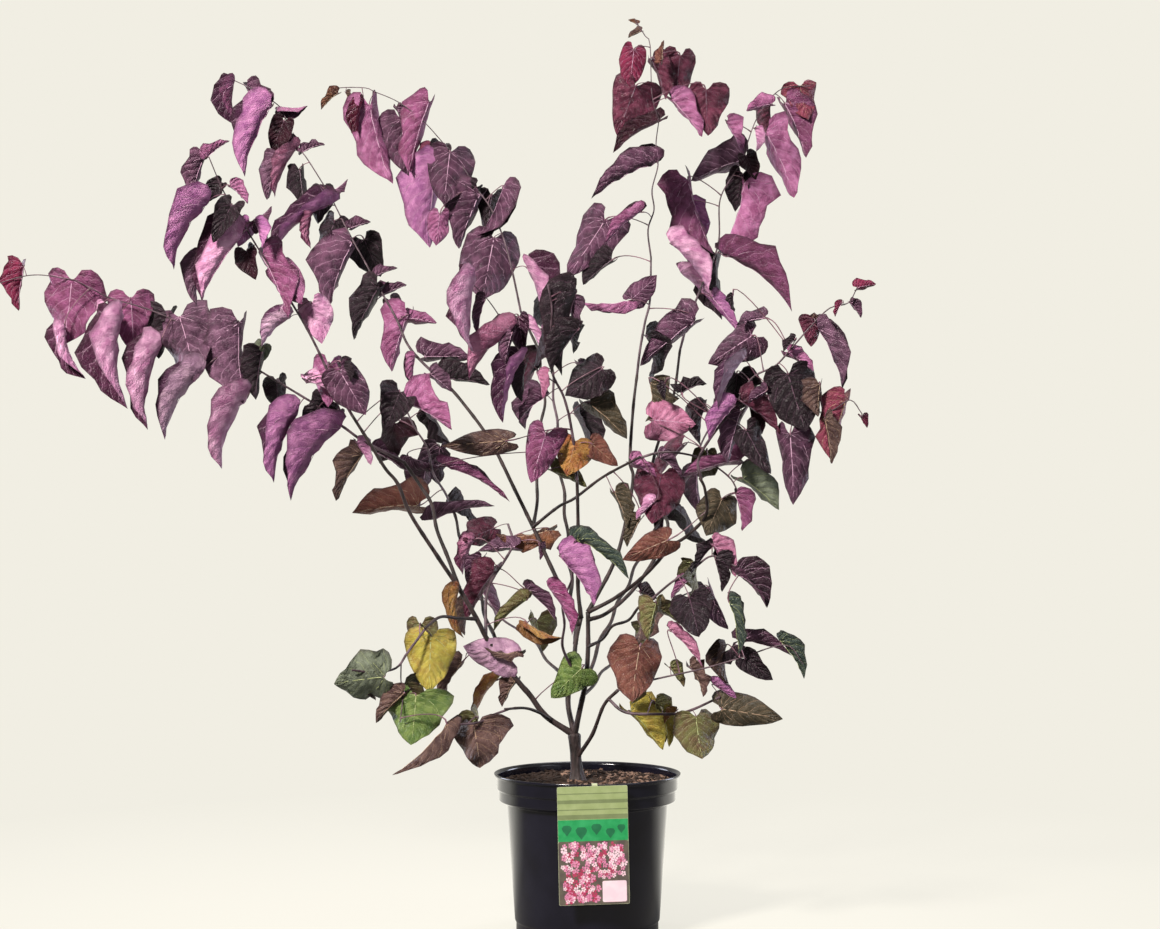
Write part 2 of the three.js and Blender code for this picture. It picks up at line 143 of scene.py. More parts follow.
def in_metres(size: float) -> float:
    """A size in millimetres as metres."""
    return size * METRE


# ---------------------------------------------------------------- finishes


@dataclass(frozen=True)
class Finish:
    """A surface: two colours that a slow noise mixes, and a fine relief.

    Each number starts from what the real material shows, at its real scale.
    """

    name: str
    colour: str
    second: str
    patch: float = 30.0  # millimetres from one patch of the second colour to the next
    amount: float = 0.5  # the most of the second colour that shows
    blend: Pair = (0.38, 0.66)  # the noise at which it starts and is full
    roughness: Pair = (0.45, 0.6)
    ior: float = 1.5
    specular: float = 0.5
    grain: float = 2.0  # millimetres across one grain of the relief
    relief: float = 0.2  # height of the relief in millimetres
    stretch: Triple = (1.0, 1.0, 1.0)
    coat: float = 0.0
    coat_roughness: float = 0.2

    def look(self, tree: Tree, place: Node, patches: Node) -> tuple:
        """The colour, and the height of the fine relief from 0 to 1.

        Args:
            tree: The material's node tree.
            place: The node that gives the place on the object.
            patches: The node of the slow noise.

        Returns:
            The output that gives the colour and the node that gives the height.
        """
        low, high = self.blend
        wanted = {"Value": patches, "From Min": low, "From Max": high, "To Max": self.amount}
        share = add_node(tree, "ShaderNodeMapRange", wanted)
        wanted = {"Factor": share, 6: linear(self.colour), 7: linear(self.second)}
        colour = add_node(tree, "ShaderNodeMix", wanted, data_type="RGBA").outputs[2]
        wanted = {"Vector": place, "Scale": per_mm(self.grain), "Detail": 3.0}
        return colour, add_node(tree, "ShaderNodeTexNoise", wanted)

    def material(self) -> Skin:
        """A material with its colour, roughness and relief from nodes."""
        made = bpy.data.materials.new(self.name)
        made.use_nodes = True
        made.diffuse_color = linear(self.colour)
        tree = made.node_tree
        shader = next(n for n in tree.nodes if n.type == "BSDF_PRINCIPLED")
        where = add_node(tree, "ShaderNodeTexCoord").outputs["Object"]
        place = add_node(tree, "ShaderNodeMapping", {"Vector": where, "Scale": self.stretch})
        wanted = {"Vector": place, "Scale": per_mm(self.patch), "Detail": 4.0}
        patches = add_node(tree, "ShaderNodeTexNoise", wanted)
        colour, height = self.look(tree, place, patches)
        wanted = {"Value": patches, "To Min": self.roughness[0], "To Max": self.roughness[1]}
        dullness = add_node(tree, "ShaderNodeMapRange", wanted)
        wanted = {"Height": height, "Distance": in_metres(self.relief), "Strength": 1.0}
        bump = add_node(tree, "ShaderNodeBump", wanted)
        wanted = {
            "Base Color": colour,
            "Roughness": dullness,
            "Normal": bump,
            "IOR": self.ior,
            "Specular IOR Level": self.specular,
            "Coat Weight": self.coat,
            "Coat Roughness": self.coat_roughness,
        }
        feed(tree, shader, wanted)
        return made


@dataclass(frozen=True)
class LeafFinish(Finish):
    """A leaf's cuticle: satin, swollen between its side veins, with a net of finest veins.

    It reads each blade's attribute "blade": how far from the midrib to the margin, how far along
    the midrib, and a number of the leaf's own, each from 0 to 1.
    """

    patch: float = 14.0
    amount: float = 0.85
    roughness: Pair = (0.36, 0.56)
    ior: float = 1.45
    specular: float = 0.3
    grain: float = 9.0
    relief: float = 2.4
    cell: float = 3.0  # real cells are under 1 mm, and these are as coarse as it takes to show
    vein: str = "#BC94AE"
    rim: str = "#2E1C24"  # near-black plum, mixed in towards the margin
    spacing: float = 0.075  # half the way from one side vein to the next, for a length of one
    wander: float = 0.09  # how far the side veins stray from straight
    slant: float = 0.36  # how much further along a side vein meets the margin
    side_vein: Pair = (0.011, 0.36)  # its half width and how much of its colour shows
    darker_margin: Pair = (0.86, 0.6)  # where the darker margin starts, and how much of it shows
    shades: Pair = (0.84, 1.16)  # from the darkest leaf to the lightest
    net: Pair = (0.2, 0.25)  # how wide the finest veins are, and how deep
    swell: float = 0.55  # how high the blade stands between side veins

    def look(self, tree: Tree, place: Node, patches: Node) -> tuple:
        """The colour with paler side veins and a darker margin, and the swellings between the veins."""
        colour, uneven = super().look(tree, place, patches)
        blade = add_node(tree, "ShaderNodeAttribute", attribute_name="blade").outputs["Vector"]
        out, along, chance = add_node(tree, "ShaderNodeSeparateXYZ", {0: blade}).outputs
        wanted = {0: out, 1: -self.slant, 2: along}
        straight = add_node(tree, "ShaderNodeMath", wanted, operation="MULTIPLY_ADD")
        wanted = {0: uneven, 1: self.wander, 2: straight}
        lengthwise = add_node(tree, "ShaderNodeMath", wanted, operation="MULTIPLY_ADD")
        gap = add_node(tree, "ShaderNodeMath", {0: lengthwise, 1: self.spacing}, operation="PINGPONG")
        width, strength = self.side_vein
        wanted = {"Value": gap, "From Max": width, "To Min": strength, "To Max": 0.0}
        line = add_node(tree, "ShaderNodeMapRange", wanted)
        wanted = {"Factor": line, 6: colour, 7: linear(self.vein)}
        colour = add_node(tree, "ShaderNodeMix", wanted, data_type="RGBA").outputs[2]
        inner, strength = self.darker_margin
        wanted = {"Value": out, "From Min": inner, "From Max": 1.0, "To Max": strength}
        wanted = {"Factor": add_node(tree, "ShaderNodeMapRange", wanted), 6: colour, 7: linear(self.rim)}
        colour = add_node(tree, "ShaderNodeMix", wanted, data_type="RGBA").outputs[2]
        dark, light = self.shades
        value = add_node(tree, "ShaderNodeMapRange", {"Value": chance, "To Min": dark, "To Max": light})
        shade = add_node(tree, "ShaderNodeHueSaturation", {"Color": colour, "Value": value})
        wanted = {"Vector": place, "Scale": per_mm(self.cell)}
        cells = add_node(tree, "ShaderNodeTexVoronoi", wanted, feature="DISTANCE_TO_EDGE")
        width, deep = self.net
        net = add_node(tree, "ShaderNodeMapRange", {"Value": cells, "From Max": width, "To Max": deep})
        wanted = {"Value": gap, "From Max": self.spacing, "To Max": self.swell}
        swelling = add_node(tree, "ShaderNodeMapRange", wanted)
        height = add_node(tree, "ShaderNodeMath", {0: net, 1: uneven}, operation="ADD")
        height = add_node(tree, "ShaderNodeMath", {0: height, 1: swelling}, operation="ADD")
        return shade.outputs[0], height


# Young redbud bark: dark grey-brown and satin, with paler streaks along the limb.
BARK = Finish(
    "redbud_bark", "#17100F", "#4C3C3C", patch=8.0, amount=0.6, roughness=(0.5, 0.72), specular=0.35,
    grain=1.6, relief=0.5, stretch=(1.0, 1.0, 0.28),
)
# This season's wood: a thin brown-purple skin with a slight gloss.
SHOOT_BARK = Finish(
    "young_shoot_bark", "#33232A", "#76606A", patch=14.0, amount=0.6, roughness=(0.4, 0.6), specular=0.35,
    grain=1.4, relief=0.25,
)
# Leaf stalks: smooth and plum red, paler where the light comes through.
PETIOLE_SKIN = Finish(
    "petiole_skin", "#4A2A36", "#8E6474", patch=16.0, amount=0.7, roughness=(0.38, 0.5),
    grain=1.0, relief=0.08,
)
# Injection-moulded black polypropylene: a satin gloss with a fine flow texture.
POT_PLASTIC = Finish(
    "moulded_polypropylene", "#0F0E19", "#181725", patch=45.0, amount=0.6, roughness=(0.1, 0.2), ior=1.49,
    grain=5.0, relief=0.05,
)
# Composted bark: matt and crumbly, dark where it is damp.
BARK_MIX = Finish(
    "composted_bark", "#1B130F", "#3A2A20", patch=9.0, amount=0.9, roughness=(0.85, 1.0), specular=0.25,
    grain=2.2, relief=1.2,
)
# Chips of bark: matt, fibrous along one side, and paler where they have dried.
CHIP_DARK = Finish(
    "bark_chip_dark", "#241913", "#423128", patch=7.0, roughness=(0.8, 0.95), specular=0.25,
    grain=1.2, relief=0.4, stretch=(1.0, 0.3, 1.0),
)
CHIP_PALE = Finish(
    "bark_chip_pale", "#6C5447", "#987D6E", patch=7.0, roughness=(0.8, 0.95), specular=0.25,
    grain=1.2, relief=0.4, stretch=(0.3, 1.0, 1.0),
)
FLOOR_PAINT = Finish(
    "studio_floor_paint", "#EDEADE", "#EDEADE", roughness=(0.9, 0.95), specular=0.0, relief=0.02
)


@dataclass(frozen=True)
class CardInk(Finish):
    """Printed card under a clear film: flat ink below a thin glossy coat."""

    patch: float = 12.0
    amount: float = 0.5
    roughness: Pair = (0.45, 0.55)
    grain: float = 1.5
    relief: float = 0.02
    coat: float = 0.5
    coat_roughness: float = 0.12


class Ink(Enum):
    """The label's printed colours."""

    CARD = CardInk("label_card", "#A9B08C", "#B9BE9E")
    SAGE = CardInk("label_sage_ink", "#8C9A66", "#A0AC7C")
    MOSS = CardInk("label_moss_ink", "#6C7850", "#7E8A60")
    GRASS = CardInk("label_grass_ink", "#128A4A", "#38A868")
    LEAF = CardInk("label_leaf_ink", "#0C5E3A", "#1C7A4C")
    BED = CardInk("label_flower_bed_ink", "#4E4440", "#6E6A54")
    PETAL_PALE = CardInk("label_pale_petal_ink", "#E6C6D2", "#F0DEE4")
    PETAL_PINK = CardInk("label_pink_petal_ink", "#C9789C", "#D898B4")
    PETAL_RED = CardInk("label_crimson_petal_ink", "#A42850", "#B83A64")


class VeinInk(Enum):
    """Colours of the larger veins, which stand a little proud of the blade."""

    CREAM = Finish("vein_cream", "#9A7F68", "#B39A80", roughness=(0.5, 0.6), relief=0.05)
    ROSE = Finish("vein_rose", "#B48CA6", "#CCA8BE", roughness=(0.5, 0.6), relief=0.05)
    # DUSK is the dark vein of the wine leaves, and of the near-black leaves painted as shade.
    DUSK = Finish("vein_dusk", "#5A3F50", "#6E5263", roughness=(0.5, 0.6), relief=0.05)
    GREEN = Finish("vein_green", "#98A06C", "#B0B884", roughness=(0.5, 0.6), relief=0.05)


@dataclass(frozen=True)
class LeafColours:
    """What one kind of leaf shows: outer side, inner side, veins, and a slot name."""

    outer: tuple[str, str]
    # The inner side is much darker than the outer: partly the leaf's own darker upper side, partly painted
    # shade inside the fold.
    inner: tuple[str, str]
    veins: VeinInk
    slot: str

    def materials(self, name: str) -> list[Skin]:
        """The outer and the inner side's materials."""
        sides = (("outer", self.outer), ("inner", self.inner))
        vein = self.veins.value.colour
        return [LeafFinish(f"leaf_{name}_{side}", *both, vein=vein).material() for side, both in sides]


class Tint(Enum):
    """The leaf colours of the plant, named for each leaf in front and dealt out by spray elsewhere."""

    MAUVE = LeafColours(("#804469", "#B0709A"), ("#2A0E20", "#431C35"), VeinInk.ROSE, "leaf_mauve")
    MULBERRY = LeafColours(("#683552", "#8C4E76"), ("#2A0E20", "#42203A"), VeinInk.ROSE, "leaf_mauve")
    ORCHID = LeafColours(("#905486", "#BE7EAC"), ("#2D1026", "#45203C"), VeinInk.ROSE, "leaf_mauve")
    PINK = LeafColours(("#AE7098", "#E2AECE"), ("#37142A", "#522843"), VeinInk.ROSE, "leaf_mauve")
    LILAC = LeafColours(("#A07A96", "#C8A2BA"), ("#472640", "#5E3A56"), VeinInk.ROSE, "leaf_mauve")
    ROSE = LeafColours(("#945472", "#CA88A8"), ("#481832", "#5E2A48"), VeinInk.ROSE, "leaf_mauve")
    MAGENTA = LeafColours(("#883C6A", "#BC6E9E"), ("#341028", "#4A1E3A"), VeinInk.ROSE, "leaf_mauve")
    SLATE = LeafColours(("#482E40", "#745068"), ("#261622", "#382434"), VeinInk.ROSE, "leaf_plum")
    PLUM = LeafColours(("#3A2032", "#633E56"), ("#1E0E18", "#301A27"), VeinInk.ROSE, "leaf_plum")
    WINE = LeafColours(("#3E1626", "#6C3248"), ("#240B15", "#371521"), VeinInk.DUSK, "leaf_plum")
    # Near-black on both sides: painted shade for leaves that hang in shadow.
    NIGHT = LeafColours(("#1A1016", "#2C1F27"), ("#150B11", "#22161D"), VeinInk.DUSK, "leaf_plum")
    CRIMSON = LeafColours(("#5A1230", "#84284A"), ("#3C0A1E", "#56162E"), VeinInk.ROSE, "leaf_plum")
    ROSE_RED = LeafColours(("#843A50", "#6E3440"), ("#562430", "#6A3640"), VeinInk.CREAM, "leaf_plum")
    BROWN_RED = LeafColours(("#643A34", "#805044"), ("#50322C", "#684438"), VeinInk.CREAM, "leaf_olive")
    PLUM_BROWN = LeafColours(("#45302F", "#68504A"), ("#362627", "#4C3834"), VeinInk.CREAM, "leaf_olive")
    RUST = LeafColours(("#4E2F29", "#86573C"), ("#42281F", "#5C3C2C"), VeinInk.CREAM, "leaf_olive")
    ORANGE = LeafColours(("#80482C", "#AC8444"), ("#6A4428", "#846034"), VeinInk.CREAM, "leaf_olive")
    YELLOW = LeafColours(("#A89C44", "#8E7434"), ("#746A34", "#80703C"), VeinInk.GREEN, "leaf_olive")
    OLIVE = LeafColours(("#62603A", "#5A4432"), ("#46442C", "#4E4232"), VeinInk.GREEN, "leaf_olive")
    UMBER = LeafColours(("#3A3428", "#524838"), ("#2C2823", "#3E382E"), VeinInk.CREAM, "leaf_olive")
    GREEN = LeafColours(("#506834", "#788A4A"), ("#404B33", "#525E40"), VeinInk.GREEN, "leaf_olive")
    SAGE = LeafColours(("#5A6050", "#78806E"), ("#464640", "#56564E"), VeinInk.GREEN, "leaf_olive")
    TEAL = LeafColours(("#2E3934", "#444E46"), ("#252F2C", "#343F39"), VeinInk.GREEN, "leaf_olive")


# ---------------------------------------------------------------- meshes


@dataclass
class Bundle:
    """Faces of one piece, gathered in millimetres until the mesh is made."""

    corners: list[np.ndarray] = field(default_factory=list)
    faces: list[tuple[int, ...]] = field(default_factory=list)
    slots: list[int] = field(default_factory=list)
    marks: list[np.ndarray] = field(default_factory=list)
    count: int = 0

    def add(
        self, corners: np.ndarray, faces: list, slots: int | list[int] = 0, marks: np.ndarray | None = None
    ) -> None:
        """Adds a patch of surface.

        Args:
            corners: Its points, one row each.
            faces: Its faces, as numbers of those points.
            slots: The material of every face, or of each one.
            marks: What the attribute "blade" says of each point, on leaves.
        """
        self.corners.append(np.asarray(corners, float))
        self.faces.extend(tuple(i + self.count for i in face) for face in faces)
        self.slots.extend([slots] * len(faces) if isinstance(slots, int) else slots)
        self.marks.extend([] if marks is None else [marks])
        self.count += len(corners)

    def piece(self, name: str, materials: list[Skin], smooth: bool = True) -> Thing:
        """Makes the piece as a mesh object in metres.

        Args:
            name: The piece's name.
            materials: Its materials, in the order of the slots.
            smooth: Whether the faces shade as one curved surface.

        Returns:
            The object, at the origin.
        """
        mesh = bpy.data.meshes.new(name)
        mesh.from_pydata((np.vstack(self.corners) * METRE).tolist(), [], self.faces)
        for material in materials:
            mesh.materials.append(material)
        mesh.polygons.foreach_set("material_index", self.slots)
        mesh.polygons.foreach_set("use_smooth", [smooth] * len(self.faces))
        if self.marks:
            blade = mesh.attributes.new("blade", "FLOAT_VECTOR", "POINT")
            blade.data.foreach_set("vector", np.vstack(self.marks).ravel())
        mesh.update()
        return in_scene(name, mesh)


def in_scene(name: str, data: bpy.types.ID) -> Thing:
    """A new object with that mesh, light or camera, put in the scene."""
    made = bpy.data.objects.new(name, data)
    bpy.context.scene.collection.objects.link(made)
    return made


def skin(
    rings: np.ndarray, first: np.ndarray | None = None, last: np.ndarray | None = None
) -> tuple[np.ndarray, list[tuple[int, ...]]]:
    """Joins rings of points, each to the next, into a closed skin.

    Args:
        rings: The rings, each running round to the left as seen from the next one.
        first: The point that closes the first ring, or none for one flat face.
        last: The same for the last ring.

    Returns:
        The skin's points and faces.
    """
    count, around = rings.shape[:2]
    here = np.arange(count * around).reshape(count, around)
    beside = np.roll(here, -1, axis=1)
    quads = np.stack([here[:-1], beside[:-1], beside[1:], here[1:]], axis=-1)
    faces = [tuple(face) for face in quads.reshape(-1, 4).tolist()]
    corners = list(rings.reshape(-1, 3))
    for pole, ring in ((first, here[0][::-1].tolist()), (last, here[-1].tolist())):
        if pole is None:
            faces.append(tuple(ring))
        else:
            faces.extend((len(corners), a, b) for a, b in zip(ring, ring[1:] + ring[:1]))
            corners.append(pole)
    return np.array(corners), faces


def hand_over(piece: Thing, nodes: tuple[str, ...] = ()) -> None:
    """Puts a finished piece on its body and reports it.

    Args:
        piece: The finished object.
        nodes: The frame's nodes that it stands for.
    """
    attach(piece, BODY)
    if nodes:
        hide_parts(*nodes)
    LOG.info("%s: %d faces, stands for %d nodes", piece.name, len(piece.data.polygons), len(nodes))


def frozen(piece: Thing) -> Thing:
    """Turns an object's modifiers into a plain mesh of its own.

    Args:
        piece: The object with live modifiers.

    Returns:
        A new object of the same name, with the old one removed.
    """
    graph = bpy.context.evaluated_depsgraph_get()
    mesh = bpy.data.meshes.new_from_object(piece.evaluated_get(graph), depsgraph=graph)
    name = piece.name
    bpy.data.objects.remove(piece)
    mesh.name = name
    return in_scene(name, mesh)


def grown_by_nodes(
    piece: Thing, tree: Tree, values: dict[str, object]
) -> Thing:
    """Runs a Geometry Nodes tree on an object and keeps the result as a plain mesh.

    Args:
        piece: The object that the tree starts from.
        tree: The tree.
        values: A value for each named input.

    Returns:
        The finished object.
    """
    modifier = piece.modifiers.new(tree.name, "NODES")
    modifier.node_group = tree
    sockets = {s.name: s.identifier for s in tree.interface.items_tree if s.item_type == "SOCKET"}
    for name, value in values.items():
        modifier[sockets[name]] = value
    return frozen(piece)


def tree_with(name: str, inputs: dict[str, str]) -> tuple[Tree, Node, Node]:
    """Starts a Geometry Nodes tree that takes and gives a geometry.

    Args:
        name: The tree's name.
        inputs: The socket type of each further named input.

    Returns:
        The tree, its input node and its output node.
    """
    tree = bpy.data.node_groups.new(name, "GeometryNodeTree")
    tree.interface.new_socket("Geometry", in_out="OUTPUT", socket_type="NodeSocketGeometry")
    tree.interface.new_socket("Geometry", in_out="INPUT", socket_type="NodeSocketGeometry")
    for label, kind in inputs.items():
        tree.interface.new_socket(label, in_out="INPUT", socket_type=kind)
    return tree, add_node(tree, "NodeGroupInput"), add_node(tree, "NodeGroupOutput")


@dataclass
class Strands:
    """Thin round strands, such as shoots and leaf stalks, swept along their own lines."""

    name: str
    sides: int
    points: list[np.ndarray] = field(default_factory=list)
    radii: list[float] = field(default_factory=list)
    edges: list[tuple[int, int]] = field(default_factory=list)

    def add(self, line: np.ndarray, radii: np.ndarray) -> None:
        """Adds one strand from its line's points and the radius at each."""
        first = len(self.points)
        self.points.extend(line)
        self.radii.extend(float(r) for r in radii)
        self.edges.extend((first + i, first + i + 1) for i in range(len(line) - 1))

    def sweep_tree(self) -> Tree:
        """The Geometry Nodes tree that turns lines with a girth into closed round strands."""
        wanted = {"Sides": "NodeSocketInt", "Skin": "NodeSocketMaterial"}
        tree, start, end = tree_with(f"{self.name}_sweep", wanted)
        curve = add_node(tree, "GeometryNodeMeshToCurve", {"Mesh": start})
        wanted = {"Resolution": start.outputs["Sides"], "Radius": 1.0}
        ring = add_node(tree, "GeometryNodeCurvePrimitiveCircle", wanted)
        girth = add_node(tree, "GeometryNodeInputNamedAttribute", {"Name": "girth"}, data_type="FLOAT")
        wanted = {"Curve": curve, "Profile Curve": ring, "Scale": girth, "Fill Caps": True}
        swept = add_node(tree, "GeometryNodeCurveToMesh", wanted)
        real = add_node(tree, "GeometryNodeRealizeInstances", {"Geometry": swept})
        smooth = add_node(tree, "GeometryNodeSetShadeSmooth", {"Geometry": real})
        wanted = {"Geometry": smooth, "Material": start.outputs["Skin"]}
        feed(tree, end, {0: add_node(tree, "GeometryNodeSetMaterial", wanted)})
        return tree

    def piece(self, skin: Skin) -> Thing:
        """Sweeps every strand into one piece."""
        mesh = bpy.data.meshes.new(self.name)
        mesh.from_pydata((np.array(self.points) * METRE).tolist(), self.edges, [])
        girth = mesh.attributes.new("girth", "FLOAT", "POINT")
        girth.data.foreach_set("value", [r * METRE for r in self.radii])
        values = {"Sides": self.sides, "Skin": skin}
        return grown_by_nodes(in_scene(self.name, mesh), self.sweep_tree(), values)


# ---------------------------------------------------------------- spines and the plant's habit


class Spine:
    """A line from its base to its tip, bowed at the middle and swayed as an S."""

    SWAY_SCALE = 6 * math.sqrt(3)  # brings the S curve t(1 - t)(1 - 2t) to a peak of 1

    def __init__(self, base: np.ndarray, tip: tuple, bow: tuple, sway: tuple) -> None:
        """Keeps the base and what leads away from it."""
        self.base = np.array(base, float)
        self.tip = np.array(tip, float)
        self.reach = self.tip - self.base
        self.bow = np.array(bow, float)
        self.sway = np.array(sway, float)

    def point(self, t: float) -> np.ndarray:
        """The place at a share of the way from base to tip."""
        hump = t * (1 - t)
        swing = self.SWAY_SCALE * hump * (1 - 2 * t)
        return self.base + self.reach * t + self.bow * 4 * hump + self.sway * swing

    def length(self) -> float:
        """The length along the line."""
        steps = np.array([self.point(t) for t in np.linspace(0, 1, 40)])
        return float(np.linalg.norm(np.diff(steps, axis=0), axis=1).sum())


@dataclass(frozen=True)
class FrontView:
    """The level view that the plant is drawn from, as a grid of columns and rows."""

    columns: int = 1160
    rows: int = 929
    reach: float = 2435.0  # columns across, at the distance of the grid from the eye
    eye: Triple = (-11.0, -3655.0, 697.0)

    def place(self, at: Pair, depth: float) -> np.ndarray:
        """The place behind a column and row, at a depth behind the pot's axis."""
        share = (depth - self.eye[1]) / self.reach
        across = self.eye[0] + (at[0] - self.columns / 2) * share
        return np.array([across, depth, self.eye[2] - (at[1] - self.rows / 2) * share])

    def seen(self, place: np.ndarray) -> np.ndarray:
        """The column and row that a place is seen at."""
        share = (place[1] - self.eye[1]) / self.reach
        column = self.columns / 2 + (place[0] - self.eye[0]) / share
        return np.array([column, self.rows / 2 - (place[2] - self.eye[2]) / share])


VIEW = FrontView()
Route = tuple[Pair, ...]  # columns and rows on the front view


@dataclass(frozen=True)
class Part:
    """A part of the plant, drawn in columns and rows over the front view."""

    name: str
    on: str
    ends: float  # how far behind the pot's axis its tip lies
    line: Route = field(kw_only=True)  # what its spine runs along
    route: Route = field(default=(), kw_only=True)  # what it follows in detail, where that is seen
    starts: float | None = field(default=None, kw_only=True)  # like ends, if not as its parent has it
    base: Triple | None = field(default=None, kw_only=True)  # where it leaves the trunk


@dataclass(frozen=True)
class Limb(Part):
    """One tapering limb."""

    radii: Pair


LIMBS = (
    Limb(
        "stem_left", "trunk", -30, (4.6, 3.4), base=(-25, 0, 284), starts=0,
        line=((571, 735), (546, 716), (530, 695), (517, 680), (489, 642), (473, 612), (459, 588)),
        route=(
            (568, 733), (546, 716), (530, 695), (517, 680), (489, 642), (480, 625), (473, 612),
            (459, 588),
        ),
    ),
    Limb(
        "stem_centre", "trunk", 30, (4.2, 3.2), base=(-21, 4, 287), starts=4,
        line=((573, 735), (568, 700), (574, 660), (576, 640), (581, 612)),
        route=((568, 730), (568, 700), (574, 660), (576, 640), (581, 618)),
    ),
    Limb(
        "stem_right", "trunk", -20, (4.4, 3.3), base=(-13, -4, 285), starts=-4,
        line=((580, 737), (582, 700), (586, 680), (588, 650), (592, 612)),
        route=((580, 735), (582, 700), (586, 680), (588, 650), (588, 612)),
    ),
    Limb(
        "bough_low_right", "trunk", -75, (3.2, 2.4), base=(-16, 0, 254), starts=-8,
        line=((583, 758), (592, 735), (604, 705), (617, 692)),
        route=((583, 758), (592, 735), (604, 705), (618, 690)),
    ),
    Limb(
        "bough_left", "stem_left", -120, (3.2, 2.2),
        line=((459, 588), (440, 560), (411, 515), (398, 484), (385, 468), (366, 437), (345, 402)),
        route=((459, 588), (440, 560), (411, 515), (398, 484), (385, 468), (366, 437), (352, 415)),
    ),
    Limb(
        "bough_far_left", "stem_left", 0, (3, 2.4),
        line=((462, 592), (449, 560), (437, 530), (432, 505), (420, 485), (402, 465)),
        route=((460, 588), (449, 560), (437, 530), (432, 505), (420, 485), (404, 462)),
    ),
    Limb(
        "bough_low_left", "stem_left", -130, (2.6, 2),
        line=((473, 620), (457, 618), (440, 617), (425, 628)),
        route=((473, 620), (457, 618), (440, 617), (425, 628)),
    ),
    Limb(
        "bough_back_left", "stem_left", 240, (3, 2.2),
        line=((498, 655), (480, 600), (460, 540), (450, 500)),
    ),
    Limb(
        "bough_low_front", "stem_left", -110, (2.4, 1.8),
        line=((540, 713), (525, 708), (505, 711)),
        route=((550, 722), (540, 713), (525, 708), (505, 709)),
    ),
    Limb(
        "bough_centre", "stem_centre", -30, (3.2, 2.5),
        line=((581, 612), (578, 585), (578, 520), (577, 485)),
        route=((583, 602), (578, 585), (578, 520), (577, 480)),
    ),
    Limb(
        "bough_upper_left", "stem_centre", 110, (3.4, 2.3),
        line=(
            (577, 630), (562, 590), (548, 560), (533, 527), (515, 490), (490, 440), (463, 403),
            (440, 378),
        ),
        route=(
            (575, 625), (562, 590), (548, 560), (533, 527), (515, 490), (490, 440), (463, 403),
            (445, 382),
        ),
    ),
    Limb(
        "bough_back_centre", "stem_centre", 260, (3.2, 2.3),
        line=((576, 645), (570, 560), (560, 470), (556, 430)),
    ),
    Limb(
        "bough_back_low_left", "stem_centre", 170, (2.6, 2),
        line=((570, 690), (545, 655), (522, 630)),
    ),
    Limb(
        "bough_top_left", "bough_upper_left", 200, (2.6, 1.9),
        line=((533, 527), (540, 470), (543, 400), (540, 355), (522, 310)),
    ),
    Limb(
        "bough_inner", "bough_upper_left", -110, (2.4, 1.8),
        line=((545, 553), (560, 507), (590, 490), (603, 477), (640, 457)),
        route=((535, 527), (558, 507), (575, 498), (603, 477), (640, 457)),
    ),
    Limb(
        "bough_tall", "stem_right", 10, (3.2, 2.1),
        line=((592, 612), (613, 565), (624, 530), (633, 480), (630, 460), (633, 410), (637, 372)),
        route=((597, 600), (613, 565), (624, 530), (633, 480), (630, 460), (633, 410), (637, 375)),
    ),
    Limb(
        "bough_right", "stem_right", -170, (3, 2.1),
        line=((591, 620), (615, 598), (645, 575), (670, 548), (688, 520), (700, 480)),
        route=(
            (597, 602), (615, 598), (645, 575), (670, 548), (688, 535), (706, 515), (705, 490),
            (700, 478),
        ),
    ),
    Limb(
        "bough_right_tall", "stem_right", 140, (3, 2),
        line=(
            (590, 630), (607, 613), (633, 590), (655, 558), (668, 528), (660, 505), (652, 475),
            (656, 450), (673, 398), (680, 350),
        ),
        route=(
            (590, 618), (607, 613), (633, 590), (655, 558), (668, 528), (660, 505), (652, 475),
            (656, 450), (673, 398), (680, 350),
        ),
    ),
    Limb(
        "bough_right_low", "stem_right", -170, (2.4, 1.8),
        line=((590, 645), (625, 617), (655, 600)),
    ),
    Limb(
        "bough_back_right", "stem_right", 240, (3, 2.2),
        line=((586, 680), (610, 620), (640, 560), (665, 515)),
    ),
    Limb(
        "bough_back_low_right", "stem_right", 170, (2.6, 2),
        line=((584, 695), (605, 665), (628, 640)),
    ),
)

SOCKET = 14.0  # how far a spray starts short of its bough's tip
OVERLAP = 0.12  # the share of a spray that the next one on its shoot takes over


class Hold(Enum):
    """How a leaf is folded and which way it shows, as (fold, curl, roll, wave, edge waves).

    Fold is how far each half turns back from flat, curl how far the midrib bends over its length,
    and roll how far the keel side turns from the eye, to the left when positive. All in degrees.
    A folded leaf bulges away from its keel.
    """

    BULGE_LEFT = (61, 38, -112, 0.12, 1.3)
    BULGE_RIGHT = (61, 38, 112, 0.12, 1.3)
    CLOSED_LEFT = (74, 24, -80, 0.1, 1.3)
    CLOSED_RIGHT = (74, 24, 80, 0.1, 1.3)
    HALF_LEFT = (46, 24, -40, 0.22, 1.6)
    HALF_RIGHT = (46, 24, 40, 0.22, 1.6)
    OPEN = (24, 20, 0, 0.26, 1.7)
    CUP = (34, 12, 180, 0.24, 1.6)
    CRUMPLED = (52, 60, 50, 0.4, 2.6)


@dataclass(frozen=True)
class Leaf:
    """One leaf that shows in front: where its blade starts and ends on the front view."""

    column: float
    row: float
    tip_column: float
    tip_row: float
    hold: Hold
    tint: Tint
    breadth: float = 1.0  # wider or narrower than the common leaf
    forward: float = 0.0  # millimetres nearer to the eye than its shoot
    lean: float = 0.0  # and how much nearer still its tip comes


@dataclass(frozen=True)
class Spray(Part):
    """A stretch of leafy shoot, in the place of one of the frame's masses."""

    depth: float
    deal: tuple[Tint, ...]  # the tints that its further leaves take in turn
    fill: float  # further leaves for each node of the shoot
    leaves: tuple[tuple, ...] = ()  # a row for each leaf that shows in front


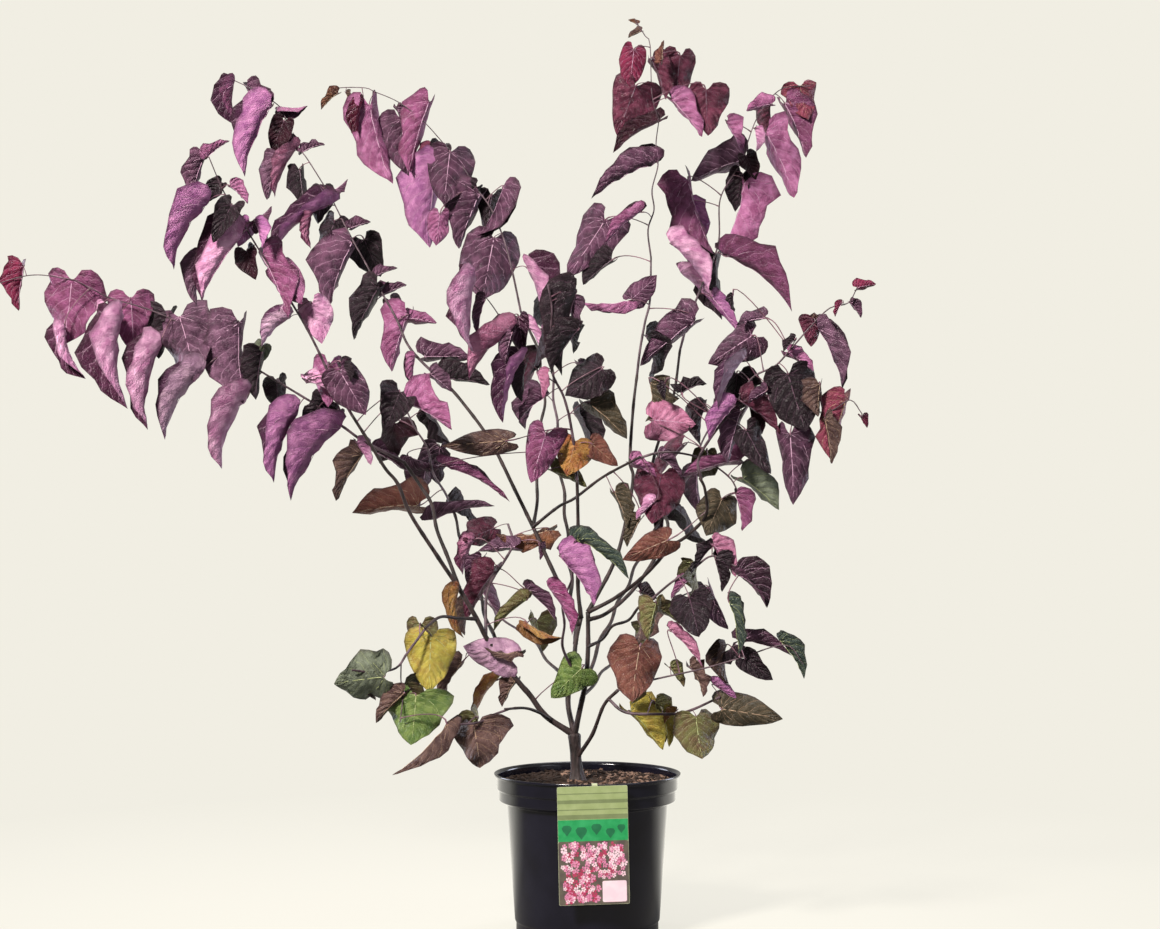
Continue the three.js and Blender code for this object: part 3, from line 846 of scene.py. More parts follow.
T = Tint
L, R = Hold.BULGE_LEFT, Hold.BULGE_RIGHT
CL, CR = Hold.CLOSED_LEFT, Hold.CLOSED_RIGHT
HL, HR = Hold.HALF_LEFT, Hold.HALF_RIGHT
OPEN, CUP, CRUMPLED = Hold.OPEN, Hold.CUP, Hold.CRUMPLED

# COOL, DARK and WARM deal the near-black painted-shade tint, DARK twice, beside its dark plum, slate and
# wine.
COOL = (T.MAUVE, T.PLUM, T.NIGHT, T.ORCHID, T.SLATE)
DARK = (T.NIGHT, T.PLUM, T.SLATE, T.WINE, T.NIGHT)
WARM = (T.WINE, T.ROSE, T.NIGHT, T.MAUVE, T.PLUM)
AUTUMN = (T.OLIVE, T.PLUM_BROWN, T.SLATE, T.UMBER, T.RUST)

SPRAYS = (
    # Left stem.
    Spray(
        "leaves_left_inner", "bough_left", -150, 40, COOL, 0.12,
        line=((345, 402), (325, 370), (305, 340), (285, 302)),
        route=((352, 415), (331, 378), (318, 350), (305, 325), (290, 300)),
        leaves=(
            (290, 318, 262, 347, L, T.LILAC, 1.4), (340, 371, 366, 415, OPEN, T.PLUM, 1.1, 4),
            (340, 368, 358, 408, HR, T.NIGHT, 0.8), (308, 381, 345, 402, CRUMPLED, T.PINK, 0.7),
            (341, 362, 351, 382, HR, T.NIGHT), (400, 392, 386, 427, CUP, T.NIGHT, 1.4),
            (408, 402, 452, 430, HR, T.MAUVE, 1.2),
        ),
    ),
    Spray(
        "leaves_left", "leaves_left_inner", -220, 36, COOL, 0.06,
        line=((292, 318), (258, 268), (226, 225), (200, 143)),
        route=((290, 300), (275, 275), (258, 248), (232, 205), (222, 188), (209, 157)),
        leaves=(
            (203, 150, 168, 222, L, T.MAUVE, 1.0, 8), (204, 158, 192, 198, HL, T.PLUM),
            (207, 158, 230, 141, HR, T.MAUVE), (208, 203, 174, 270, L, T.ORCHID, 1.0, 10),
            (222, 183, 205, 203, CUP, T.NIGHT), (230, 186, 248, 204, HR, T.MAUVE),
            (232, 205, 213, 243, CUP, T.NIGHT), (243, 234, 202, 302, CL, T.PINK, 1.1, 14),
            (205, 258, 197, 306, CL, T.SLATE, 1.0, -12), (250, 222, 238, 247, OPEN, T.ORCHID),
            (255, 222, 262, 249, CR, T.ORCHID), (253, 225, 272, 206, HL, T.PLUM),
            (247, 251, 256, 280, CUP, T.WINE), (262, 256, 288, 318, HR, T.MULBERRY),
            (280, 268, 302, 304, OPEN, T.MAUVE), (312, 303, 322, 344, OPEN, T.PINK, 1.1),
        ),
    ),
    Spray(
        "leaves_far_left_inner", "bough_far_left", -20, 34, DARK, 0.12,
        line=((402, 468), (350, 462), (300, 430), (215, 385)),
        route=(
            (404, 462), (365, 442), (345, 428), (330, 418), (316, 405), (300, 395), (262, 372),
            (230, 352),
        ),
        leaves=(
            (202, 374, 165, 440, L, T.LILAC, 1.0, 14), (222, 333, 210, 374, HL, T.NIGHT),
            (240, 323, 244, 404, HL, T.SLATE), (248, 398, 222, 469, L, T.PINK, 1.15, 10),
            (262, 345, 248, 368, OPEN, T.SAGE), (262, 353, 256, 400, HL, T.NIGHT),
            (298, 413, 274, 483, L, T.ORCHID, 1.1, 12), (340, 428, 291, 501, L, T.ORCHID, 1.15, 14),
            (362, 455, 336, 501, HL, T.PLUM_BROWN), (357, 442, 371, 465, HR, T.PINK),
            (375, 452, 405, 470, HR, T.PLUM), (325, 400, 304, 427, HL, T.NIGHT),
            (338, 410, 320, 432, CUP, T.NIGHT),
        ),
    ),
    Spray(
        "leaves_far_left", "leaves_far_left_inner", -40, 30, COOL, 0.06,
        line=((222, 392), (170, 376), (118, 354), (68, 318)),
        route=((230, 352), (190, 328), (150, 310), (110, 298), (94, 290), (75, 280)),
        leaves=(
            (72, 280, 63, 346, OPEN, T.MULBERRY, 1.2), (66, 330, 86, 379, L, T.PINK, 1.0, 8),
            (122, 320, 128, 409, L, T.PINK, 1.0, 14), (105, 303, 118, 326, CL, T.PINK),
            (131, 298, 134, 352, OPEN, T.MULBERRY, 1.15), (160, 348, 148, 430, L, T.PINK, 1.0, 16),
            (180, 317, 195, 382, OPEN, T.SLATE, 1.15, 6), (168, 313, 159, 359, HL, T.NIGHT, 1.0, -10),
        ),
    ),
    Spray(
        "leaves_far_left_tip", "leaves_far_left", -50, 26, COOL, 0.0,
        line=((78, 322), (45, 304), (0, 294), (-30, 312)),
        route=((75, 280), (35, 275), (0, 283), (-30, 295)),
        leaves=(
            (24, 266, 19, 311, HL, T.CRIMSON), (-4, 284, -6, 330, L, T.MAUVE),
            (-27, 294, -40, 322, HL, T.MAGENTA),
        ),
    ),
    Spray(
        "leaves_low_left", "bough_low_left", -200, 50, AUTUMN, 0.45,
        line=((430, 624), (415, 645), (385, 665), (328, 682)),
        route=((425, 628), (408, 652), (396, 668), (373, 672), (352, 670)),
        leaves=(
            (384, 677, 334, 684, OPEN, T.SAGE, 1.35, 0, 14),
            (431, 636, 429, 692, OPEN, T.YELLOW, 1.25, 0, 22), (462, 662, 440, 700, HL, T.PLUM_BROWN),
        ),
    ),
    Spray(
        "leaves_low_left_inner", "leaves_low_left", -190, 50, AUTUMN, 0.45, starts=-150,
        line=((405, 665), (415, 700), (418, 730), (405, 775)),
        route=((399, 664), (401, 680), (403, 696), (400, 722)),
        leaves=(
            (416, 695, 411, 745, OPEN, T.GREEN, 1.6, 10, 20), (404, 693, 376, 723, HL, T.PLUM_BROWN, 0.8),
            (447, 724, 392, 775, CR, T.PLUM_BROWN, 0.6, 10),
        ),
    ),
    Spray(
        "leaves_low_front", "bough_low_front", -170, 50, AUTUMN, 0.45,
        line=((510, 711), (490, 720), (475, 735), (455, 768)),
        route=((505, 709), (490, 716), (480, 722), (465, 724), (450, 724)),
        leaves=(
            (474, 725, 480, 768, OPEN, T.PLUM_BROWN, 1.6, 0, 20), (497, 680, 473, 722, L, T.ORANGE, 0.8),
            (515, 681, 502, 707, HL, T.PLUM_BROWN), (512, 659, 463, 646, OPEN, T.LILAC, 1.0, 20),
            (518, 652, 484, 647, CRUMPLED, T.PLUM_BROWN, 0.5, 34),
            (582, 668, 551, 698, OPEN, T.GREEN, 1.15, 24),
        ),
    ),
    Spray(
        "leaves_inner_left", "stem_left", 70, 46, DARK, 0.08,
        line=((482, 633), (500, 590), (505, 560), (500, 520)),
        route=((486, 638), (486, 600), (492, 580), (505, 560), (513, 543), (508, 524)),
        leaves=(
            (494, 528, 463, 541, OPEN, T.WINE, 1.0, 0, 40), (474, 540, 463, 575, L, T.ROSE),
            (482, 558, 467, 584, HL, T.PLUM), (548, 530, 496, 534, CRUMPLED, T.RUST, 0.6),
            (515, 547, 478, 551, HL, T.SLATE, 0.8), (540, 545, 540, 560, HR, T.PLUM),
            (494, 572, 466, 620, HL, T.WINE, 1.0, 8), (459, 590, 464, 638, L, T.ORANGE, 0.8),
            (527, 590, 557, 622, CR, T.PLUM, 0.7), (527, 600, 493, 632, CL, T.OLIVE, 0.6),
            (527, 623, 564, 638, L, T.ORANGE, 0.8),
        ),
    ),
    Spray(
        "leaves_back_left", "bough_back_left", 350, 60, DARK, 0.95,
        line=((452, 508), (440, 480), (425, 450), (405, 405)),
        leaves=(
            (418, 505, 352, 513, HL, T.BROWN_RED), (434, 519, 495, 506, CR, T.SLATE, 0.5),
            (408, 456, 443, 466, CL, T.PLUM, 0.7),
        ),
    ),
    # Middle stem.
    Spray(
        "leaves_upper_left", "bough_upper_left", 170, 44, DARK, 0.06,
        line=((440, 378), (398, 338), (366, 285), (333, 210)),
        route=(
            (445, 382), (425, 365), (408, 345), (396, 318), (382, 293), (365, 262), (350, 235),
            (330, 195),
        ),
        leaves=(
            (328, 206, 272, 256, L, T.ORCHID, 0.75, 14), (312, 215, 311, 249, L, T.ROSE),
            (335, 221, 320, 258, OPEN, T.NIGHT), (350, 228, 371, 222, HR, T.PLUM),
            (352, 243, 331, 304, HL, T.PLUM, 1.1, 0, 50), (378, 288, 354, 340, HL, T.NIGHT),
            (375, 276, 398, 268, HR, T.PLUM), (380, 296, 407, 285, HR, T.PLUM),
            (390, 300, 403, 320, OPEN, T.NIGHT), (408, 315, 392, 372, HL, T.MAUVE, 1.0, 8),
            (408, 318, 437, 323, HR, T.MAUVE), (415, 357, 415, 387, CL, T.MAUVE),
            (425, 357, 472, 358, HR, T.PLUM), (430, 374, 452, 392, HR, T.SLATE),
            (445, 378, 490, 385, HR, T.NIGHT),
        ),
    ),
    Spray(
        "leaves_upper_left_tip", "leaves_upper_left", 200, 38, WARM, 0.0,
        line=((340, 222), (310, 168), (278, 128), (222, 80)),
        route=((330, 195), (308, 160), (297, 145), (287, 122), (280, 107), (258, 92), (231, 79)),
        leaves=(
            (234, 83, 239, 127, L, T.MULBERRY, 1.1), (247, 88, 252, 122, CRUMPLED, T.PLUM),
            (272, 106, 245, 177, CL, T.ORCHID, 1.0, 14), (268, 105, 250, 116, HL, T.MAUVE),
            (281, 107, 308, 106, L, T.MAUVE), (284, 121, 272, 152, CUP, T.WINE),
            (292, 139, 282, 164, HL, T.ROSE), (278, 159, 267, 200, HL, T.SLATE),
            (297, 149, 275, 198, L, T.ROSE, 1.0, 8), (303, 152, 325, 145, CRUMPLED, T.PLUM),
            (300, 170, 305, 207, HL, T.NIGHT), (322, 189, 318, 224, OPEN, T.NIGHT),
            (331, 192, 348, 179, HL, T.PLUM),
        ),
    ),
    Spray(
        "leaves_top_left", "bough_top_left", 240, 46, DARK, 0.12,
        line=((520, 315), (480, 250), (446, 205), (416, 155)),
        route=((521, 311), (512, 270), (503, 237), (490, 207), (475, 187), (465, 170), (445, 145)),
        leaves=(
            (430, 147, 418, 167, HL, T.WINE), (440, 150, 428, 193, CUP, T.NIGHT, 0.9, -16),
            (450, 152, 444, 205, OPEN, T.PLUM, 1.1, 0, 20), (438, 164, 430, 248, HL, T.ORCHID, 0.9, 4),
            (440, 214, 436, 246, OPEN, T.MAUVE), (476, 187, 454, 208, HL, T.NIGHT),
            (480, 195, 459, 249, HL, T.PLUM, 1.0, 6), (503, 187, 477, 237, CR, T.PLUM),
            (494, 238, 482, 300, OPEN, T.PLUM, 1.25, 8, 40), (490, 228, 487, 242, CUP, T.NIGHT),
            (527, 268, 541, 337, R, T.PINK, 1.0, 20), (525, 323, 541, 352, CR, T.PINK, 0.7),
        ),
    ),
    Spray(
        "leaves_top_left_tip", "leaves_top_left", 250, 40, WARM, 0.0,
        line=((425, 168), (402, 140), (375, 120), (325, 95)),
        route=((445, 145), (422, 120), (398, 102), (375, 92), (365, 88), (340, 88), (328, 92)),
        leaves=(
            (338, 93, 321, 110, HL, T.RUST), (346, 93, 351, 106, HR, T.PLUM_BROWN),
            (362, 103, 360, 143, L, T.CRIMSON, 0.8), (370, 106, 393, 184, HL, T.MAUVE, 0.85, 10),
            (397, 107, 403, 124, HR, T.PLUM), (402, 120, 408, 175, HL, T.PLUM, 1.0, -8),
            (429, 102, 409, 173, HL, T.MULBERRY, 0.8, 8),
        ),
    ),
    Spray(
        "leaves_centre_low", "bough_centre", -50, 56, AUTUMN, 0.08,
        line=((577, 492), (572, 465), (565, 445), (560, 425)),
        route=((577, 480), (574, 445), (569, 415)),
        leaves=(
            (590, 404, 627, 439, HR, T.UMBER), (546, 433, 531, 483, OPEN, T.MULBERRY, 1.0, 10),
            (575, 441, 567, 476, OPEN, T.ORANGE, 1.25), (552, 470, 587, 487, HR, T.OLIVE, 0.9),
            (592, 444, 618, 466, OPEN, T.BROWN_RED), (506, 441, 442, 446, OPEN, T.PLUM_BROWN, 0.5),
            (446, 466, 510, 502, CR, T.MULBERRY, 0.45),
        ),
    ),
    Spray(
        "leaves_centre", "leaves_centre_low", -90, 64, DARK, 0.15,
        line=((562, 432), (560, 390), (548, 340), (540, 270)),
        route=((569, 415), (563, 395), (552, 372), (550, 340), (552, 310), (548, 285)),
        leaves=(
            (576, 292, 562, 376, CL, T.NIGHT, 0.85, -6), (570, 300, 572, 332, HR, T.SLATE),
            (578, 330, 551, 374, HL, T.NIGHT), (602, 369, 565, 396, OPEN, T.NIGHT, 1.1),
            (545, 397, 519, 420, HL, T.PLUM), (538, 373, 543, 399, HR, T.ROSE),
        ),
    ),
    Spray(
        "leaves_centre_left", "leaves_centre", -120, 50, COOL, 0.15, starts=-70,
        line=((540, 392), (510, 380), (480, 340), (462, 280)),
        route=((556, 385), (538, 370), (520, 352), (506, 327), (488, 300), (466, 278)),
        leaves=(
            (510, 332, 469, 380, L, T.ROSE, 1.0, 8), (512, 333, 505, 364, HL, T.PLUM),
            (522, 361, 503, 423, L, T.ORCHID, 0.9, 10), (525, 364, 522, 402, HL, T.NIGHT),
            (476, 278, 474, 354, L, T.PINK, 0.95, 10), (485, 300, 478, 337, CL, T.PLUM, 0.8),
        ),
    ),
    Spray(
        "leaves_back_centre", "bough_back_centre", 370, 64, DARK, 0.95,
        line=((557, 440), (555, 400), (550, 350), (560, 300)),
    ),
    Spray(
        "leaves_back_low_left", "bough_back_low_left", 290, 60, AUTUMN, 0.7,
        line=((527, 637), (505, 620), (480, 600), (455, 590)),
    ),
    # Right stem and the tall leading shoot.
    Spray(
        "leaves_front", "stem_right", -170, 48, AUTUMN, 0.0,
        line=((583, 690), (565, 650), (562, 610), (575, 555)),
        leaves=(
            (560, 556, 594, 606, CR, T.ORCHID, 1.2, 14), (550, 590, 572, 636, R, T.MAGENTA, 0.9, 16),
            (577, 540, 629, 579, CR, T.TEAL, 0.7),
        ),
    ),
    Spray(
        "leaves_tall", "bough_tall", 20, 60, DARK, 0.15,
        line=((637, 385), (645, 345), (645, 305), (622, 258)),
        route=((637, 375), (640, 350), (645, 322), (650, 300), (651, 258)),
        leaves=(
            (628, 301, 579, 302, CR, T.MAUVE, 0.6), (632, 299, 657, 275, OPEN, T.PLUM),
            (612, 260, 583, 285, HL, T.NIGHT, 1.3), (694, 322, 640, 366, HL, T.PLUM, 0.8, 6),
        ),
    ),
    Spray(
        "leaves_tall_middle", "leaves_tall", 35, 52, DARK, 0.0,
        line=((628, 270), (605, 225), (620, 175), (645, 120)),
        route=((651, 258), (648, 230), (654, 210), (652, 190), (658, 165), (656, 144), (659, 120)),
        leaves=(
            (658, 122, 613, 153, L, T.WINE, 0.65), (656, 163, 591, 199, CL, T.PLUM, 0.85),
            (605, 220, 567, 277, OPEN, T.PLUM, 0.95), (641, 212, 604, 246, CL, T.MAUVE, 0.7, 8),
        ),
    ),
    Spray(
        "leaves_tall_tip", "leaves_tall_middle", 45, 60, WARM, 0.12,
        line=((642, 138), (668, 108), (672, 72), (637, 18)),
        route=((659, 120), (652, 95), (650, 45), (645, 36), (635, 20)),
        leaves=(
            (641, 31, 628, 38, HL, T.PLUM_BROWN), (637, 24, 628, 20, HL, T.RUST),
            (634, 50, 630, 88, OPEN, T.CRIMSON, 0.9), (636, 86, 617, 136, OPEN, T.WINE, 1.1),
            (662, 60, 664, 40, HR, T.BROWN_RED), (652, 60, 666, 100, HR, T.WINE),
            (680, 56, 676, 104, OPEN, T.WINE, 1.1), (672, 100, 702, 137, HR, T.MAUVE),
            (706, 90, 708, 136, OPEN, T.WINE, 1.1),
        ),
    ),
    Spray(
        "leaves_right_tall", "bough_right_tall", 170, 60, DARK, 0.06,
        line=((680, 355), (708, 300), (724, 245), (716, 160)),
        route=((680, 350), (687, 325), (700, 290), (718, 245), (720, 200), (735, 172)),
        leaves=(
            (688, 180, 713, 254, HL, T.MULBERRY, 1.0, 10), (742, 174, 735, 212, CUP, T.NIGHT),
            (744, 182, 722, 254, HR, T.MAUVE, 1.1, 4), (690, 204, 705, 240, HR, T.ORCHID),
            (672, 245, 709, 292, R, T.PINK, 1.0, 6), (681, 273, 713, 312, R, T.PINK, 0.8),
            (716, 254, 722, 320, HL, T.NIGHT), (712, 298, 739, 332, HR, T.ORCHID, 0.8),
            (727, 257, 792, 312, R, T.MULBERRY, 0.8, 10),
        ),
    ),
    Spray(
        "leaves_right_tall_tip", "leaves_right_tall", 200, 54, WARM, 0.12,
        line=((716, 185), (745, 168), (778, 140), (824, 84)),
        route=((735, 172), (742, 160), (757, 118), (780, 90), (810, 86)),
        leaves=(
            (800, 86, 808, 120, OPEN, T.ROSE_RED, 1.3), (772, 104, 746, 111, HL, T.MAUVE),
            (785, 104, 806, 158, HR, T.MULBERRY, 1.1), (766, 133, 794, 198, HR, T.MAUVE, 1.1, 8),
            (727, 123, 742, 152, HR, T.MAUVE), (744, 159, 691, 181, HL, T.SLATE),
            (746, 156, 756, 180, CUP, T.WINE), (755, 130, 756, 152, CR, T.PINK),
        ),
    ),
    Spray(
        "leaves_right", "bough_right", -200, 66, DARK, 0.12,
        line=((700, 488), (725, 440), (755, 395), (785, 355)),
        route=((700, 478), (700, 455), (735, 405), (752, 378), (775, 366), (790, 350)),
        leaves=(
            (733, 295, 735, 312, HL, T.NIGHT), (764, 318, 736, 325, HL, T.SLATE),
            (752, 336, 708, 364, OPEN, T.PLUM, 1.0), (742, 361, 717, 412, L, T.LILAC, 0.9, 10),
            (735, 406, 709, 442, CL, T.ORCHID, 1.0, 8), (705, 406, 700, 446, HL, T.NIGHT),
            (741, 411, 727, 464, HL, T.PLUM), (742, 402, 780, 434, HR, T.WINE),
            (653, 420, 696, 424, OPEN, T.ROSE, 1.3, 10, 16), (650, 383, 645, 422, CRUMPLED, T.UMBER),
            (665, 383, 665, 400, HL, T.NIGHT), (682, 393, 707, 384, CRUMPLED, T.NIGHT),
            (788, 374, 806, 432, OPEN, T.NIGHT, 1.15, 6), (766, 391, 748, 403, HL, T.PLUM),
            (795, 339, 783, 352, HL, T.NIGHT), (788, 352, 814, 371, HR, T.MAUVE),
        ),
    ),
    Spray(
        "leaves_right_tip", "leaves_right", -210, 52, WARM, 0.12,
        line=((775, 372), (812, 370), (838, 335), (868, 282)),
        route=((790, 350), (812, 325), (830, 308), (848, 303), (857, 288)),
        leaves=(
            (813, 319, 811, 347, OPEN, T.WINE, 1.2), (812, 322, 833, 331, HR, T.PLUM_BROWN),
            (818, 330, 842, 390, CR, T.SLATE, 0.8, 8), (842, 303, 835, 317, HL, T.CRIMSON),
            (857, 288, 876, 284, HR, T.CRIMSON), (850, 303, 861, 318, HR, T.PLUM),
        ),
    ),
    Spray(
        "leaves_right_outer", "leaves_right", -230, 54, WARM, 0.12, starts=-185,
        line=((748, 440), (780, 465), (815, 455), (860, 420)),
        route=((735, 405), (765, 403), (800, 411), (830, 411), (850, 400), (862, 414)),
        leaves=(
            (820, 384, 818, 417, HL, T.PLUM_BROWN), (846, 400, 832, 464, HL, T.ROSE_RED, 1.0, 8),
            (825, 419, 831, 464, HR, T.PLUM_BROWN, 0.9), (862, 416, 867, 428, HR, T.CRIMSON),
            (746, 430, 771, 474, OPEN, T.NIGHT, 0.8, 6), (790, 434, 793, 505, HR, T.PLUM, 0.8, 8),
        ),
    ),
    Spray(
        "leaves_inner_right", "bough_inner", -130, 60, AUTUMN, 0.15,
        line=((640, 457), (665, 460), (690, 485), (740, 520)),
        route=((640, 457), (665, 452), (700, 458), (728, 476), (738, 492)),
        leaves=(
            (632, 463, 657, 478, HR, T.MAUVE), (660, 457, 682, 476, HR, T.SLATE),
            (741, 460, 680, 477, HL, T.MULBERRY, 0.85, 8), (661, 474, 652, 524, OPEN, T.WINE, 1.4),
            (655, 501, 636, 520, HL, T.PINK, 0.8), (722, 499, 706, 536, OPEN, T.UMBER, 1.3),
            (736, 495, 742, 531, HR, T.MULBERRY), (614, 492, 627, 527, HR, T.UMBER),
            (640, 519, 627, 547, HL, T.UMBER), (668, 540, 622, 560, OPEN, T.BROWN_RED, 0.75, 10),
            (742, 478, 779, 510, HR, T.SAGE, 1.05),
        ),
    ),
    Spray(
        "leaves_right_low", "bough_right_low", -220, 60, AUTUMN, 0.15,
        line=((655, 600), (690, 590), (725, 580), (772, 585)),
        route=((654, 599), (672, 582), (692, 570), (712, 556), (735, 566), (755, 574)),
        leaves=(
            (713, 544, 736, 577, HR, T.ROSE), (712, 547, 691, 574, HL, T.NIGHT),
            (715, 559, 722, 592, HR, T.NIGHT), (737, 574, 767, 608, R, T.PLUM, 1.2, 6),
            (689, 597, 699, 637, OPEN, T.NIGHT, 1.25, 10, 40), (690, 579, 671, 599, HL, T.MAUVE),
            (656, 604, 648, 640, HL, T.OLIVE), (657, 607, 682, 624, HR, T.OLIVE),
            (640, 591, 657, 599, HR, T.NIGHT), (729, 602, 738, 657, CR, T.TEAL, 0.6),
        ),
    ),
    Spray(
        "leaves_low_right_inner", "bough_low_right", -140, 58, AUTUMN, 0.25,
        line=((612, 695), (635, 680), (665, 688), (700, 725)),
        route=((612, 705), (625, 712), (655, 714), (685, 712), (720, 697)),
        leaves=(
            (696, 716, 702, 759, OPEN, T.OLIVE, 1.3, 0, 24), (630, 711, 663, 750, HR, T.YELLOW, 1.1),
            (663, 711, 669, 747, HR, T.YELLOW, 0.8, -8), (676, 711, 664, 724, HL, T.ORANGE),
            (713, 684, 739, 706, CR, T.ORCHID, 0.7), (722, 709, 783, 719, OPEN, T.UMBER, 0.85, 4, 10),
        ),
    ),
    Spray(
        "leaves_low_right", "leaves_low_right_inner", -220, 62, AUTUMN, 0.25,
        line=((690, 722), (722, 715), (760, 698), (808, 664)),
        route=((612, 694), (635, 684), (660, 678), (705, 668), (740, 658), (785, 645), (803, 664)),
        leaves=(
            (640, 646, 632, 702, OPEN, T.BROWN_RED, 1.2, 14, 20), (671, 631, 703, 668, CR, T.ROSE, 0.6),
            (670, 667, 684, 687, HR, T.OLIVE), (690, 667, 703, 697, CRUMPLED, T.PLUM_BROWN),
            (735, 645, 711, 659, CRUMPLED, T.NIGHT), (740, 641, 792, 656, CR, T.PLUM, 0.7),
            (745, 658, 773, 680, CUP, T.NIGHT), (780, 641, 804, 679, CR, T.TEAL, 0.8),
        ),
    ),
    Spray(
        "leaves_back_right", "bough_back_right", 350, 66, DARK, 0.95,
        line=((660, 525), (680, 490), (700, 450), (715, 400)),
    ),
    Spray(
        "leaves_back_low_right", "bough_back_low_right", 290, 62, AUTUMN, 0.7,
        line=((622, 646), (645, 625), (675, 600), (700, 590)),
    ),
)


# ---------------------------------------------------------------- lines of growth


def rounded(points: np.ndarray, pitch: float) -> np.ndarray:
    """Runs a smooth line through points.

    Args:
        points: The points, one row each.
        pitch: About how far apart the line's own points are.

    Returns:
        The line's points, which include the given ones.
    """
    ends = np.vstack([2 * points[0] - points[1], points, 2 * points[-1] - points[-2]])
    line = []
    for a, b, c, d in zip(ends, ends[1:], ends[2:], ends[3:]):
        steps = max(2, round(float(np.linalg.norm(c - b)) / pitch))
        for t in np.arange(steps) / steps:
            bend = (2 * a - 5 * b + 4 * c - d) * t**2 + (3 * b - a - 3 * c + d) * t**3
            line.append((2 * b + (c - a) * t + bend) / 2)
    return np.array([*line, points[-1]])


def lengths_along(line: np.ndarray) -> np.ndarray:
    """How far along a line each of its points is."""
    steps = np.linalg.norm(np.diff(line, axis=0), axis=1)
    return np.concatenate([[0.0], np.cumsum(steps)])


def swellings(far: np.ndarray, pitch: float, first: float, height: float, spread: float) -> np.ndarray:
    """How much thicker a limb or shoot is at its nodes.

    Args:
        far: How far along the limb or shoot each point is.
        pitch: The distance from node to node.
        first: How far the first node is shifted back.
        height: What a node adds to the radius.
        spread: How wide a node is, as the square of a length.

    Returns:
        What is added to the radius at each point.
    """
    return height * np.exp(-(((far + first) % pitch - pitch / 2) ** 2) / spread)


@dataclass
class Habit:
    """Works out the spine of each part, in order from the trunk, from the line that it is drawn as."""

    tip_step: float = 5.0  # a tip lies at whole numbers of this
    limb_step: float = 2.0  # so does the bow or sway of a limb
    spray_step: float = 5.0  # and of a spray
    least: float = 3.0  # a smaller bow or sway is left out
    samples: int = 60  # the places that a line is read at
    lookups: int = 40  # the steps that a parent is searched in
    spines: dict[str, Spine] = field(default_factory=dict)
    shares: dict[str, float | None] = field(default_factory=dict)  # where a part starts on its parent

    def start(self, part: Part) -> tuple[np.ndarray, float]:
        """Finds where a part starts, and notes the share of its parent, or None for its end.

        Args:
            part: The limb or spray.

        Returns:
            The start of its spine, and the depth that its line starts at.
        """
        self.shares[part.name] = None
        if part.base:
            return np.array(part.base, float), part.starts
        parent = self.spines[part.on]
        if isinstance(part, Spray) and part.starts is None and not part.on.startswith("stem"):
            return parent.tip, parent.tip[1]
        spots = np.array([parent.point(step / self.lookups) for step in range(self.lookups + 1)])
        depth = part.starts
        if depth is None:
            seen = np.array([VIEW.seen(spot) for spot in spots])
            depth = spots[np.argmin(np.linalg.norm(seen - part.line[0], axis=1))][1]
        step = int(np.argmin(np.linalg.norm(spots - VIEW.place(part.line[0], depth), axis=1)))
        self.shares[part.name] = round(step / self.lookups, 2)
        return spots[step], depth

    def read(self, part: Part) -> None:
        """Adds a part, with the bow and sway that take its spine nearest to its line."""
        base, depth = self.start(part)
        line = np.array(part.line, float)
        along = lengths_along(line)
        at = np.linspace(0, along[-1], self.samples)
        spots = np.stack([np.interp(at, along, side) for side in line.T], axis=1)
        deep = depth + (part.ends - depth) * np.linspace(0, 1, self.samples)
        points = np.array([VIEW.place(spot, y) for spot, y in zip(spots, deep)])
        tip = np.round(points[-1] / self.tip_step) * self.tip_step
        gone = lengths_along(points)
        t = (gone / gone[-1])[:, None]
        hump = t * (1 - t)
        shapes = np.hstack([4 * hump, Spine.SWAY_SCALE * hump * (1 - 2 * t)])
        bends = np.linalg.lstsq(shapes, points - (base + (tip - base) * t), rcond=None)[0]
        step = self.spray_step if isinstance(part, Spray) else self.limb_step
        bends = np.round(bends / step) * step
        bends[np.abs(bends).max(axis=1) < self.least] = 0
        self.spines[part.name] = Spine(base, tip, *bends)


